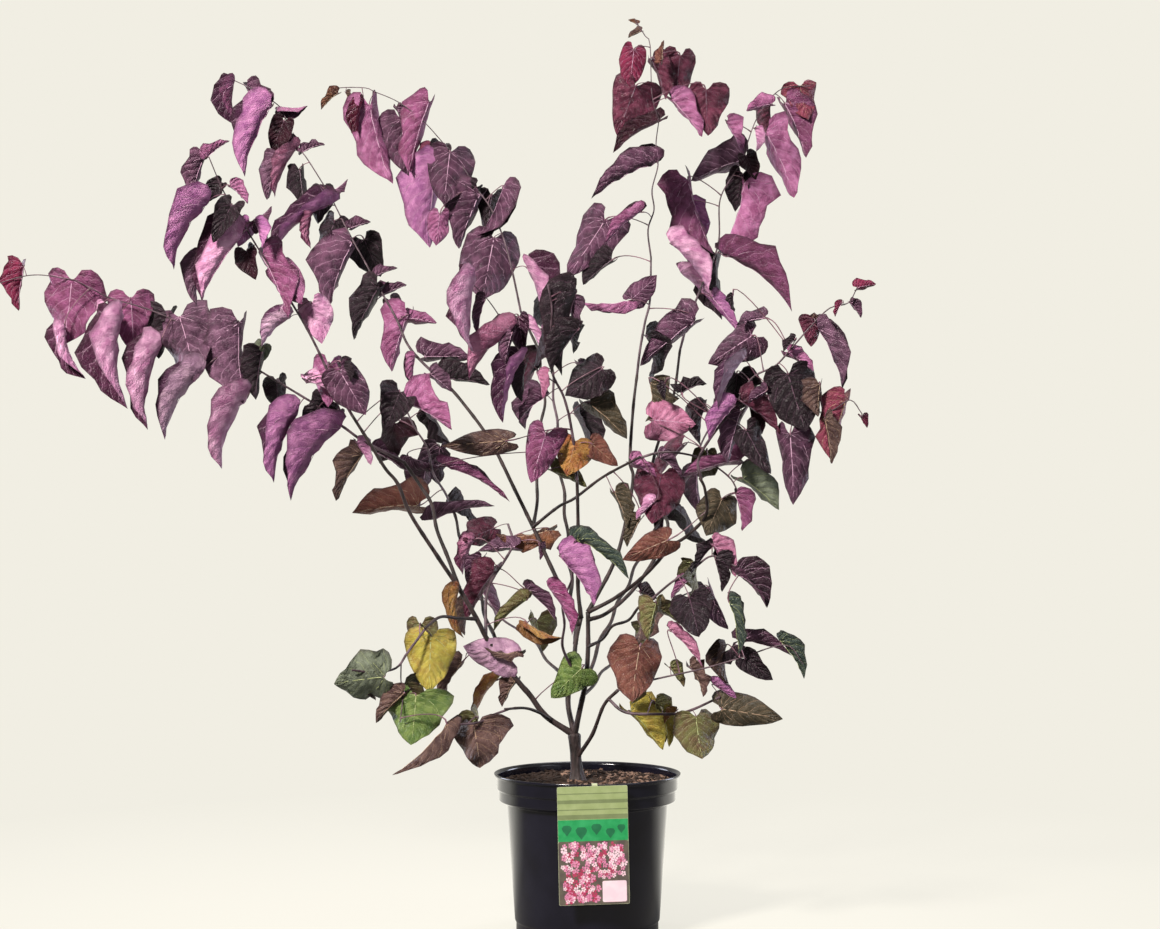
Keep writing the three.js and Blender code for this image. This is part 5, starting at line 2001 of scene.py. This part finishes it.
@dataclass(frozen=True)
class Pot:
    """The nursery pot: a tapering wall, two bands and a lip, with drain notches at its foot."""

    height: float = 235.0
    wall: float = 2.0
    floor: float = 2.5
    foot_radius: float = 106.5
    foot_height: float = 13.0
    base_radius: float = 108.5
    shoulder_radius: float = 120.5
    shoulder_height: float = 190.0
    lower_band_radius: float = 132.6
    lower_band_top: float = 210.0
    upper_band_radius: float = 135.6
    upper_band_top: float = 230.0
    lip_radius: float = 140.0
    lip_lap: float = 0.8  # how much thicker the lip is than the wall
    foot_step: float = 3.0  # heights of the slopes over the foot, and under each band and the lip
    shoulder_step: float = 5.0
    band_step: float = 2.0
    lip_step: float = 1.5
    inner_rise: float = 1.0  # how much higher the inner corners lie than the outer ones
    shoulder_rise: float = 1.5  # the same at the shoulder
    bend: float = 1.4  # radius of the wall's bends
    sharp: float = math.radians(50)  # edges bent more than this stay sharp
    notches: int = 6
    notch: Triple = (9.0, 15.0, 9.0)
    sides: int = 144

    def profile(self) -> list[np.ndarray]:
        """The wall's outline, from the bottom's centre over the lip to the floor's centre."""
        base = self.base_radius
        shoulder = self.shoulder_radius
        lower = self.lower_band_radius
        upper = self.upper_band_radius
        wall = self.wall
        corners = [
            (0, 0),
            (self.foot_radius, 0),
            (self.foot_radius, self.foot_height),
            (base, self.foot_height + self.foot_step),
            (shoulder, self.shoulder_height),
            (lower, self.shoulder_height + self.shoulder_step),
            (lower, self.lower_band_top),
            (upper, self.lower_band_top + self.band_step),
            (upper, self.upper_band_top),
            (self.lip_radius, self.upper_band_top + self.lip_step),
            (self.lip_radius, self.height),
            (self.lip_radius - wall - self.lip_lap, self.height),
            (upper - wall, self.upper_band_top + self.lip_step),
            (upper - wall, self.lower_band_top + self.band_step + self.inner_rise),
            (lower - wall, self.lower_band_top + self.inner_rise),
            (lower - wall, self.shoulder_height + self.shoulder_step + self.shoulder_rise),
            (shoulder - wall, self.shoulder_height + self.shoulder_rise),
            (base - wall, self.foot_height + self.foot_step + self.inner_rise),
            (self.foot_radius - wall, self.foot_height + self.inner_rise),
            (self.foot_radius - wall, self.floor),
            (0, self.floor),
        ]
        return filleted(corners, self.bend)

    def cutters(self) -> Thing:
        """The blocks that cut the drain notches."""
        bundle = Bundle()
        deep, wide, high = self.notch
        for i in range(self.notches):
            turn = (i + 0.5) / self.notches * 2 * math.pi
            out = np.array([math.cos(turn), math.sin(turn), 0.0])
            side = np.array([-out[1], out[0], 0.0])
            centre = out * self.foot_radius + UP * (high / 2 - 1)
            signs = [(a, b, c) for c in (-1, 1) for a, b in ((-1, -1), (1, -1), (1, 1), (-1, 1))]
            across = [centre + out * a * deep / 2 + side * b * wide / 2 for a, b, _ in signs]
            rings = [place + UP * c * high / 2 for place, (_, _, c) in zip(across, signs)]
            bundle.add(*skin(np.array(rings).reshape(2, 4, 3)))
        return bundle.piece("notch_cutters", [], smooth=False)

    def build(self) -> None:
        """Builds the pot and hands it over."""
        pot = turned(self.profile(), self.sides).piece("pot_shell", [POT_PLASTIC.material()])
        cutters = self.cutters()
        cut = pot.modifiers.new("notches", "BOOLEAN")
        cut.object = cutters
        cut.operation = "DIFFERENCE"
        cut.solver = "EXACT"
        pot = frozen(pot)
        bpy.data.objects.remove(cutters)
        pot.data.set_sharp_from_angle(angle=self.sharp)
        hand_over(pot, ("pot",))


@dataclass
class Scatter:
    """Copies of one small shape, set on an object's points or strewn over its faces."""

    shape: Thing
    material: Skin
    sizes: Pair
    seed: int
    least_turn: Triple
    most_turn: Triple
    density: float = 0.0  # copies for each square metre of faces, or none to use the points

    def tree(self) -> Tree:
        """The Geometry Nodes tree that sets the copies, each turned and sized by chance."""
        wanted = {
            "Shape": "NodeSocketObject",
            "Density": "NodeSocketFloat",
            "Smallest": "NodeSocketFloat",
            "Largest": "NodeSocketFloat",
            "Seed": "NodeSocketInt",
            "Skin": "NodeSocketMaterial",
        }
        tree, start, end = tree_with("scatter", wanted)
        given = start.outputs
        seed = {"Seed": given["Seed"]}
        spots = given["Geometry"]
        if self.density:
            over = {"Mesh": spots, "Density": given["Density"], **seed}
            spots = add_node(tree, "GeometryNodeDistributePointsOnFaces", over).outputs["Points"]
        shape = add_node(tree, "GeometryNodeObjectInfo", {"Object": given["Shape"]}).outputs["Geometry"]
        span = {0: self.least_turn, 1: self.most_turn, **seed}
        turn = add_node(tree, "FunctionNodeRandomValue", span, data_type="FLOAT_VECTOR")
        span = {2: given["Smallest"], 3: given["Largest"], **seed}
        size = add_node(tree, "FunctionNodeRandomValue", span, data_type="FLOAT").outputs[1]
        copies = {"Points": spots, "Instance": shape, "Rotation": turn, "Scale": size}
        placed = add_node(tree, "GeometryNodeInstanceOnPoints", copies)
        real = add_node(tree, "GeometryNodeRealizeInstances", {"Geometry": placed})
        wanted = {"Geometry": real, "Material": given["Skin"]}
        feed(tree, end, {0: add_node(tree, "GeometryNodeSetMaterial", wanted)})
        return tree

    def over(self, ground: Thing) -> Thing:
        """Sets the copies on an object, which they take the place of, and removes the shape."""
        values = {
            "Shape": self.shape,
            "Density": self.density,
            "Smallest": self.sizes[0],
            "Largest": self.sizes[1],
            "Seed": self.seed,
            "Skin": self.material,
        }
        done = grown_by_nodes(ground, self.tree(), values)
        bpy.data.objects.remove(self.shape)
        return done


@dataclass(frozen=True)
class PottingMix:
    """The potting mix: a crumbly surface heaped a little to the middle, strewn with bark chips."""

    top: float = 222.0
    radius: float = 133.2
    heap: float = 2.5
    lumps: float = 3.4
    lump_sizes: Pair = (16.0, 6.0)  # of the coarse and the fine lumps
    lump_layers: Pair = (3.1, 8.2)  # where in the noise each is taken
    fine_share: float = 0.6  # how high the fine lumps are against the coarse ones
    sunk: float = 1.5  # how far the mix lies under its top at the edge
    edge_calm: Pair = (6.0, 0.25)  # how soon the lumps rise from the edge, and how high they start
    wall: tuple[Pair, ...] = (
        (0.0, 2.8),
        (104.2, 2.8),
        (104.2, 14.2),
        (106.2, 17.2),
        (118.2, 191.7),
        (130.3, 196.8),
        (130.3, 211.2),
    )  # from the floor's centre up the pot's inner wall
    rim: float = 213.2  # where the wall ends, at the mix's radius
    sides: int = 96
    ring_pitch: float = 4.0
    bed_pitch: float = 5.0
    chips: int = 1900
    pale_chips: int = 640
    painted_shadow_edge: float = -35.0  # pale chips lie only right of here, so the mix is darker to the left: a painted shadow of the foliage
    bare: float = 22.0  # chips keep this far from the middle, where the trunk stands
    edge_gap: float = 6.0  # and this far from the mix's edge
    chip_lift: float = 0.8
    chip_sizes: Pair = (3.5, 12.5)
    chip_corners: int = 7
    chip_ragged: Pair = (0.75, 1.15)
    chip_half: Pair = (0.5, 0.3)  # half its length and half its width
    chip_undercut: float = 0.86
    chip_foot: float = -0.1
    chip_rim: Pair = (0.04, 0.14)
    chip_peak: Triple = (0.05, 0.0, 0.17)

    def height(self, x: float, y: float) -> float:
        """The surface's height at a place."""
        edge = 1 - min(1.0, math.hypot(x, y) / self.radius)
        layers = zip(self.lump_layers, self.lump_sizes)
        coarse, fine = (noise.noise(Vector((x, y, layer)) / size) for layer, size in layers)
        soon, least = self.edge_calm
        lump = self.lumps * (coarse + self.fine_share * fine) * min(1.0, soon * edge + least)
        return self.top - self.sunk + self.heap * edge**0.5 + lump

    def surface(self) -> Bundle:
        """The closed body of the mix, whose sides follow the pot's inner wall."""
        rings = np.arange(self.radius, self.ring_pitch / 2, -self.ring_pitch)
        profile = [np.array(corner) for corner in (*self.wall, (self.radius, self.rim))]
        profile += [np.array([r, self.top]) for r in rings] + [np.array([0, self.top])]
        bundle = turned(profile, self.sides)
        for corner in bundle.corners[0]:
            if corner[2] >= self.top:
                corner[2] = self.height(corner[0], corner[1])
        return bundle

    def chip(self, name: str, rng: np.random.Generator) -> Thing:
        """One flat, splintered chip with a length of one."""
        around = self.chip_corners
        long, wide = self.chip_half
        angles = np.arange(around) / around * 2 * math.pi
        radii = rng.uniform(*self.chip_ragged, around)
        outline = np.stack([np.cos(angles) * long * radii, np.sin(angles) * wide * radii], axis=1)
        low = np.column_stack([outline * self.chip_undercut, np.full(around, self.chip_foot)])
        high = np.column_stack([outline, rng.uniform(*self.chip_rim, around)])
        bundle = Bundle()
        bundle.add(*skin(np.array([low, high]), last=np.array(self.chip_peak)))
        return bundle.piece(name, [], smooth=False)

    def bed(self, name: str, left: float) -> Thing:
        """The top surface alone, right of a line, a little in from the pot and clear of the trunk."""
        radii = np.arange(self.bare, self.radius - self.edge_gap, self.bed_pitch)
        angles = np.arange(self.sides) / self.sides * 2 * math.pi
        spots = [(r * math.cos(a), r * math.sin(a)) for r in radii for a in angles]
        corners = np.array([(x, y, self.height(x, y) + self.chip_lift) for x, y in spots])
        here = np.arange(len(spots)).reshape(len(radii), self.sides)
        beside = np.roll(here, -1, axis=1)
        faces = np.stack([here[:-1], here[1:], beside[1:], beside[:-1]], axis=-1).reshape(-1, 4)
        bundle = Bundle()
        bundle.add(corners, faces[corners[faces[:, 0], 0] > left].tolist())
        return bundle.piece(name, [], smooth=False)

    def build(self) -> None:
        """Builds the mix and its chips and hands them over."""
        mix = self.surface().piece("bark_mix_bed", [BARK_MIX.material()])
        hand_over(mix, ("potting_mix",))
        area = math.pi * (self.radius**2 - self.bare**2) * METRE**2
        kinds = (
            ("bark_chips_dark", CHIP_DARK, self.chips, 1, -self.radius),
            # Pale chips only right of the line: the darker left is painted shadow.
            ("bark_chips_pale", CHIP_PALE, self.pale_chips, 2, self.painted_shadow_edge),
        )
        for name, finish, count, seed, left in kinds:
            chip = self.chip(f"{name}_shape", np.random.default_rng([SEED, 900 + seed]))
            turns = ((-0.5, -0.5, 0.0), (0.5, 0.5, 2 * math.pi))
            scatter = Scatter(chip, finish.material(), self.chip_sizes, seed, *turns, density=count / area)
            hand_over(scatter.over(self.bed(name, left)), ("potting_mix",))


@dataclass(frozen=True)
class Label:
    """The hanging label: a card with a hooked strap, and flat inks with no lettering."""

    width: float = 102.0
    height: float = 171.0
    thickness: float = 0.8
    corner: float = 2.5
    bottom: float = 62.0
    tilt: float = math.radians(-1.2)
    centre_x: float = 10.0
    front: float = 140.6  # how far the card's back is from the pot's axis
    lip_gap: float = 0.6  # how far that is off the pot's lip
    strap_width: float = 8.0
    strap_lap: float = 15.0  # how far the strap reaches down behind the card
    strap_top: float = 235.6  # its lower face, where it crosses the pot's rim
    strap_inner: float = 131.75  # how far from the axis it hangs inside the pot
    strap_end: float = 225.0
    strap_bend: float = 2.2
    ink: float = 0.14  # how far the inks stand off the card
    bite: float = 0.01  # how far an ink reaches into what it is printed on
    inset: float = 0.4  # how far the inks keep off the card's sides
    header_low: float = 123.0
    band_low: float = 92.0
    ink_corner: float = 2.2
    band_corner: float = 0.4
    stripe_corner: float = 0.3
    stripes: tuple[Pair, ...] = ((160.5, 0.7), (149.0, 2.6), (137.5, 0.7), (127.0, 3.2))
    motifs: tuple[Triple, ...] = ((-38, 108, 8.5), (-17, 104, 10), (5, 109, 9), (25, 103, 8), (41, 109, 7))
    motif_rows: tuple[Pair, ...] = (
        (0.0, 1.0),
        (0.55, 0.95),
        (0.85, 0.45),
        (0.7, -0.1),
        (0.35, -0.6),
        (0.0, -1.15),
    )  # half widths and heights down a motif, for a size of one
    motif_squat: float = 0.85
    panel: Box = (12.0, 3.4, 47.0, 34.0)
    panel_lift: float = 0.3
    petals: int = 5
    petal: tuple[Pair, ...] = ((0.12, 0.0), (0.35, 0.2), (0.72, 0.34), (0.95, 0.2), (0.88, 0.0))
    petal_thickness: float = 0.02
    bloom_gap: float = 0.6  # how far blossoms keep off the card's sides
    spots: tuple[int, int] = (13, 12)  # places for blossoms, across and up
    spot_pitch: Pair = (8.0, 7.4)
    first_spot: Pair = (-48.0, 5.0)
    stagger: float = 3.5  # every second column is this much higher
    stray: float = 3.5
    field_top: float = 91.0
    panel_right: float = 8.0  # blossoms keep clear of the pale panel, which starts here
    panel_top: float = 38.0  # and ends here

    def place(self, corners: np.ndarray) -> np.ndarray:
        """Moves points from the card's own frame (across, up, off the card) to the plant's.

        Args:
            corners: The points, one row each.

        Returns:
            The points, tilted and turned as the label hangs.
        """
        x, up, off = corners.T
        a = x * math.cos(self.tilt) + up * math.sin(self.tilt)
        z = up * math.cos(self.tilt) - x * math.sin(self.tilt) + self.bottom
        return self.turned_to_hang(np.column_stack([a, -self.front - off, z]))

    def turned_to_hang(self, corners: np.ndarray) -> np.ndarray:
        """Turns points about the pot's axis to where the label hangs."""
        lean = math.asin(self.centre_x / (self.front - self.lip_gap))
        c = math.cos(lean)
        s = math.sin(lean)
        x, y, z = corners.T
        return np.column_stack([x * c - y * s, x * s + y * c, z])

    def patch(self, box: Box, corner: float, off: float, deep: float, steps: int = 6) -> Bundle:
        """A flat patch with rounded corners.

        Args:
            box: Left, low, right and high sides in the card's frame.
            corner: The radius of its corners.
            off: How far its back is off the card's back.
            deep: Its thickness.
            steps: How many sides each rounded corner has.

        Returns:
            The closed patch.
        """
        left, low, right, high = box
        middles = (
            (right - corner, high - corner, 0.0),
            (left + corner, high - corner, 0.5),
            (left + corner, low + corner, 1.0),
            (right - corner, low + corner, 1.5),
        )
        outline = []
        for x, y, start in middles:
            for step in range(steps + 1):
                angle = (start + step / (2 * steps)) * math.pi
                outline.append((x + corner * math.cos(angle), y + corner * math.sin(angle)))
        return self.prism(np.array(outline), off, deep)

    def prism(self, outline: np.ndarray, off: float, deep: float) -> Bundle:
        """A closed slab over an outline that runs round to the left as seen from the front."""
        rings = [np.column_stack([outline, np.full(len(outline), out)]) for out in (off, off + deep)]
        corners, faces = skin(np.array(rings))
        bundle = Bundle()
        bundle.add(self.place(corners), faces)
        return bundle

    def strap(self) -> Bundle:
        """The strap: up from behind the card, over the pot's rim and down inside it."""
        rise = self.height + self.bottom - self.strap_lap
        top = self.strap_top + self.thickness
        inner = self.strap_inner
        middle = self.thickness / 2
        path = [(self.front, rise), (self.front, top), (inner, top), (inner, self.strap_end)]
        path = [(r + middle, z - (middle if z == top else 0)) for r, z in path]
        line = filleted(path, self.strap_bend, 4)
        points = np.array(line)
        ahead = np.gradient(points, axis=0)
        aside = np.column_stack([ahead[:, 1], -ahead[:, 0]])
        aside = aside / np.linalg.norm(aside, axis=1, keepdims=True) * self.thickness / 2
        half = self.strap_width / 2
        rings = []
        for (r, z), (dr, dz) in zip(points, aside):
            outer = [(-half, -(r + dr), z + dz), (half, -(r + dr), z + dz)]
            rings.append([(-half, -(r - dr), z - dz), (half, -(r - dr), z - dz), *outer[::-1]])
        corners, faces = skin(np.array(rings))
        bundle = Bundle()
        bundle.add(self.turned_to_hang(corners), faces)
        return bundle

    def blossom(self, name: str, off: float) -> Thing:
        """One blossom with a radius of one, lying in the card's plane.

        Args:
            name: The object's name.
            off: Its thickness.

        Returns:
            The blossom's mesh object.
        """
        bundle = Bundle()
        for index in range(self.petals):
            turn = index / self.petals * 2 * math.pi
            back_again = ((along, -wide) for along, wide in self.petal[-2:0:-1])
            shape = np.array([*self.petal, *back_again])[::-1]
            c = math.cos(turn)
            s = math.sin(turn)
            spun = np.column_stack([shape[:, 0] * c - shape[:, 1] * s, shape[:, 0] * s + shape[:, 1] * c])
            # The card's plane stands upright, so its up is +Z and off the card is -Y.
            back = np.column_stack([spun[:, 0], np.zeros(len(spun)), spun[:, 1]])
            bundle.add(*skin(np.array([back, back - np.array([0.0, off, 0.0])])))
        return bundle.piece(name, [], smooth=False)

    def blooms(
        self,
        name: str,
        ink: Ink,
        sizes: Pair,
        shares: Pair,
        seed: int,
        off: float,
    ) -> None:
        """Builds one colour's blossoms over the picture field and hands them over.

        Args:
            name: The piece's name.
            ink: Its colour.
            sizes: The smallest and largest radius.
            shares: How many of the places are taken, low down and at the top.
            seed: The seed of their places and turns.
            off: How far their backs are off the card's back.
        """
        rng = np.random.default_rng([SEED, 700 + seed])
        spots = []
        reach = self.width / 2 - sizes[1] - self.bloom_gap
        left, low = self.first_spot
        across, rise = self.spot_pitch
        for column, row in np.ndindex(*self.spots):
            x = left + column * across + rng.uniform(-self.stray, self.stray)
            up = low + row * rise + (column % 2) * self.stagger + rng.uniform(-self.stray, self.stray)
            clear_of_panel = x < self.panel_right or up > self.panel_top
            chosen = rng.random() < np.interp(up, (0, self.field_top), shares)
            inside = abs(x) < reach and sizes[1] < up < self.field_top - sizes[1] / 2
            if clear_of_panel and inside and chosen:
                spots.append((x, up, off))
        points = self.place(np.array(spots)) * METRE
        mesh = bpy.data.meshes.new(name)
        mesh.from_pydata(points.tolist(), [], [])
        flower = self.blossom(f"{name}_shape", self.petal_thickness)
        turns = ((0.0, 0.0, 0.0), (0.0, 2 * math.pi, 0.0))
        bloom = Scatter(flower, ink.value.material(), sizes, seed, *turns).over(in_scene(name, mesh))
        hand_over(bloom, ("pot_label",))

    def printed(self, name: str, ink: Ink, *parts: Bundle) -> None:
        """Joins flat parts of one colour into a piece and hands it over."""
        joined = Bundle()
        for part in parts:
            joined.add(part.corners[0], part.faces)
        hand_over(joined.piece(name, [ink.value.material()], smooth=False), ("pot_label",))

    def build(self) -> None:
        """Builds the card, strap and inks and hands them over."""
        half = self.width / 2
        card = self.patch((-half, 0, half, self.height), self.corner, 0.0, self.thickness)
        self.printed("label_card", Ink.CARD, card, self.strap())
        face = self.thickness - self.bite
        left = self.inset - half
        right = half - self.inset
        fields = (
            ("label_header", Ink.SAGE, self.header_low, self.height - self.inset, self.ink_corner),
            ("label_band", Ink.GRASS, self.band_low, self.header_low, self.band_corner),
            ("label_field", Ink.BED, self.inset, self.band_low, self.ink_corner),
        )
        for name, ink, low, high, corner in fields:
            self.printed(name, ink, self.patch((left, low, right, high), corner, face, self.ink))
        above = face + self.ink - self.bite
        boxes = [(left, height - thick, right, height + thick) for height, thick in self.stripes]
        stripes = [self.patch(box, self.stripe_corner, above, self.ink) for box in boxes]
        self.printed("label_stripes", Ink.MOSS, *stripes)
        leaves = [self.prism(self.leaf_outline(*motif), above, self.ink) for motif in self.motifs]
        self.printed("label_leaf_motifs", Ink.LEAF, *leaves)
        panel = self.patch(self.panel, self.corner, above + self.panel_lift, self.ink)
        self.printed("label_panel", Ink.PETAL_PALE, panel)
        self.blooms("label_blossoms_crimson", Ink.PETAL_RED, (4.0, 6.2), (0.95, 0.25), 3, above)
        self.blooms("label_blossoms_pink", Ink.PETAL_PINK, (3.6, 6.0), (0.5, 0.8), 2, above + 0.1)
        self.blooms("label_blossoms_pale", Ink.PETAL_PALE, (2.8, 5.4), (0.3, 0.75), 1, above + 0.2)

    def leaf_outline(self, x: float, up: float, size: float) -> np.ndarray:
        """A plain heart-shaped leaf motif, hanging tip down."""
        squat = self.motif_squat
        right = [(x + wide * size, up + high * size * squat) for wide, high in self.motif_rows]
        left = [(x - wide * size, up + high * size * squat) for wide, high in self.motif_rows[-2:0:-1]]
        return np.array([*right, *left])[::-1]


# ---------------------------------------------------------------- studio


@dataclass(frozen=True)
class Lamp:
    """A soft light: where it stands, its size, its power and its colour."""

    name: str
    at: Triple
    size: Pair
    power: float
    colour: str = "#FFFFFF"

    def build(self, target: Vector) -> None:
        """Adds the lamp, aimed at a target."""
        data = bpy.data.lights.new(self.name, "AREA")
        data.shape = "RECTANGLE"
        data.size, data.size_y = self.size
        data.energy = self.power
        data.color = linear(self.colour)[:3]
        lamp = in_scene(self.name, data)
        lamp.location = self.at
        lamp.rotation_euler = (target - Vector(self.at)).to_track_quat("-Z", "Y").to_euler()


@dataclass(frozen=True)
class Studio:
    """A plain pale studio, with the camera level with the middle of the plant."""

    backdrop: str = "#F1EEE3"
    lens: float = 75.6
    ambient: float = 0.17
    mirrored: float = 0.5
    mirrored_behind: float = 1.6  # the floor behind the pot, which its sides mirror
    floor_radius: float = 60.0
    aim: Triple = (-0.05, 0.0, 0.75)
    shadow: Triple = (0.2, 1.6, 0.16)  # from here to here it fades from this
    mirror: Triple = (0.08, 0.42, 0.12)  # in front of the first it is this dim
    lamps: tuple[Lamp, ...] = (
        Lamp("key", (-2.1, -3.3, 3.2), (0.7, 0.7), 430.0, "#FFF8F0"),
        Lamp("fill", (3.2, -2.6, 1.4), (2.2, 2.2), 34.0, "#EEF2FF"),
        Lamp("top", (0.4, 1.4, 4.0), (2.0, 2.0), 90.0),
        Lamp("left_strip", (-2.4, 1.5, 0.9), (0.9, 1.8), 45.0, "#E8ECFF"),
        Lamp("right_strip", (2.5, 1.5, 0.9), (0.9, 1.8), 45.0, "#E8ECFF"),
    )

    def camera(self) -> None:
        """Adds the level camera at the front view's eye."""
        data = bpy.data.cameras.new("eye")
        data.lens = self.lens
        data.sensor_width = 36.0
        data.clip_end = 200.0
        camera = in_scene("eye", data)
        camera.location = [part * METRE for part in VIEW.eye]
        camera.rotation_euler = (math.pi / 2, 0.0, 0.0)
        bpy.context.scene.camera = camera

    def seen_strength(self, tree: Tree, mirrored: float) -> Node:
        """A light's strength: full to the eye, its own in a glossy surface, and dim on the plant."""
        path = add_node(tree, "ShaderNodeLightPath").outputs
        wanted = {"Value": path["Is Glossy Ray"], "To Min": self.ambient, "To Max": mirrored}
        unseen = add_node(tree, "ShaderNodeMapRange", wanted)
        wanted = {"Value": path["Is Camera Ray"], "To Min": unseen, "To Max": 1.0}
        return add_node(tree, "ShaderNodeMapRange", wanted)

    def floor(self) -> None:
        """Adds the floor: mostly its own light, so that it runs into the backdrop."""
        bundle = Bundle()
        around = 96
        angles = np.arange(around) / around * 2 * math.pi
        edge = np.column_stack([np.cos(angles), np.sin(angles), np.zeros(around)])
        bundle.add(edge * self.floor_radius / METRE - UP * 0.2, [tuple(range(around))])
        paint = FLOOR_PAINT.material()
        tree = paint.node_tree
        shader = next(n for n in tree.nodes if n.type == "BSDF_PRINCIPLED")
        where = add_node(tree, "ShaderNodeTexCoord").outputs["Object"]
        far = add_node(tree, "ShaderNodeVectorMath", {0: where}, operation="LENGTH").outputs["Value"]
        near, end, deepest = self.shadow
        wanted = {"Value": far, "From Min": near, "From Max": end, "To Min": deepest, "To Max": 0.0}
        lit = add_node(tree, "ShaderNodeMapRange", wanted)
        wanted = {"Factor": lit, 6: (0.0, 0.0, 0.0, 1.0), 7: linear(self.backdrop)}
        painted = add_node(tree, "ShaderNodeMix", wanted, data_type="RGBA").outputs[2]
        own = add_node(tree, "ShaderNodeMath", {0: 1.0, 1: lit}, operation="SUBTRACT")
        back = add_node(tree, "ShaderNodeSeparateXYZ", {0: where}).outputs["Y"]
        near, end, dim = self.mirror
        wanted = {"Value": back, "From Min": near, "From Max": end, "To Min": dim}
        mirror = add_node(tree, "ShaderNodeMapRange", {**wanted, "To Max": self.mirrored_behind})
        seen = self.seen_strength(tree, mirror)
        glow = add_node(tree, "ShaderNodeMath", {0: seen, 1: own}, operation="MULTIPLY")
        wanted = {"Base Color": painted, "Emission Strength": glow, "Emission Color": linear(self.backdrop)}
        feed(tree, shader, wanted)
        floor = bundle.piece("studio_floor", [paint], smooth=False)

    def world(self) -> None:
        """Sets the world: the backdrop's colour to the eye, and a dimmer light to the plant."""
        world = bpy.data.worlds.new("studio")
        bpy.context.scene.world = world
        world.use_nodes = True
        tree = world.node_tree
        background = next(n for n in tree.nodes if n.type == "BACKGROUND")
        wanted = {"Strength": self.seen_strength(tree, self.mirrored), "Color": linear(self.backdrop)}
        feed(tree, background, wanted)

    def build(self) -> None:
        """Builds the whole studio."""
        target = Vector(self.aim)
        for lamp in self.lamps:
            lamp.build(target)
        self.camera()
        self.floor()
        self.world()
        scene = bpy.context.scene
        scene.view_settings.view_transform = "Standard"


# ---------------------------------------------------------------- the whole


def main() -> None:
    """Builds the plant, its pot and the studio."""
    logging.basicConfig(level=logging.INFO, format="%(name)s: %(message)s")
    growth = Growth()
    wood = Wood(growth)
    wood.plan()
    wood.build()
    Foliage(growth).build()
    Pot().build()
    PottingMix().build()
    Label().build()
    Studio().build()


if __name__ == "__main__":
    main()
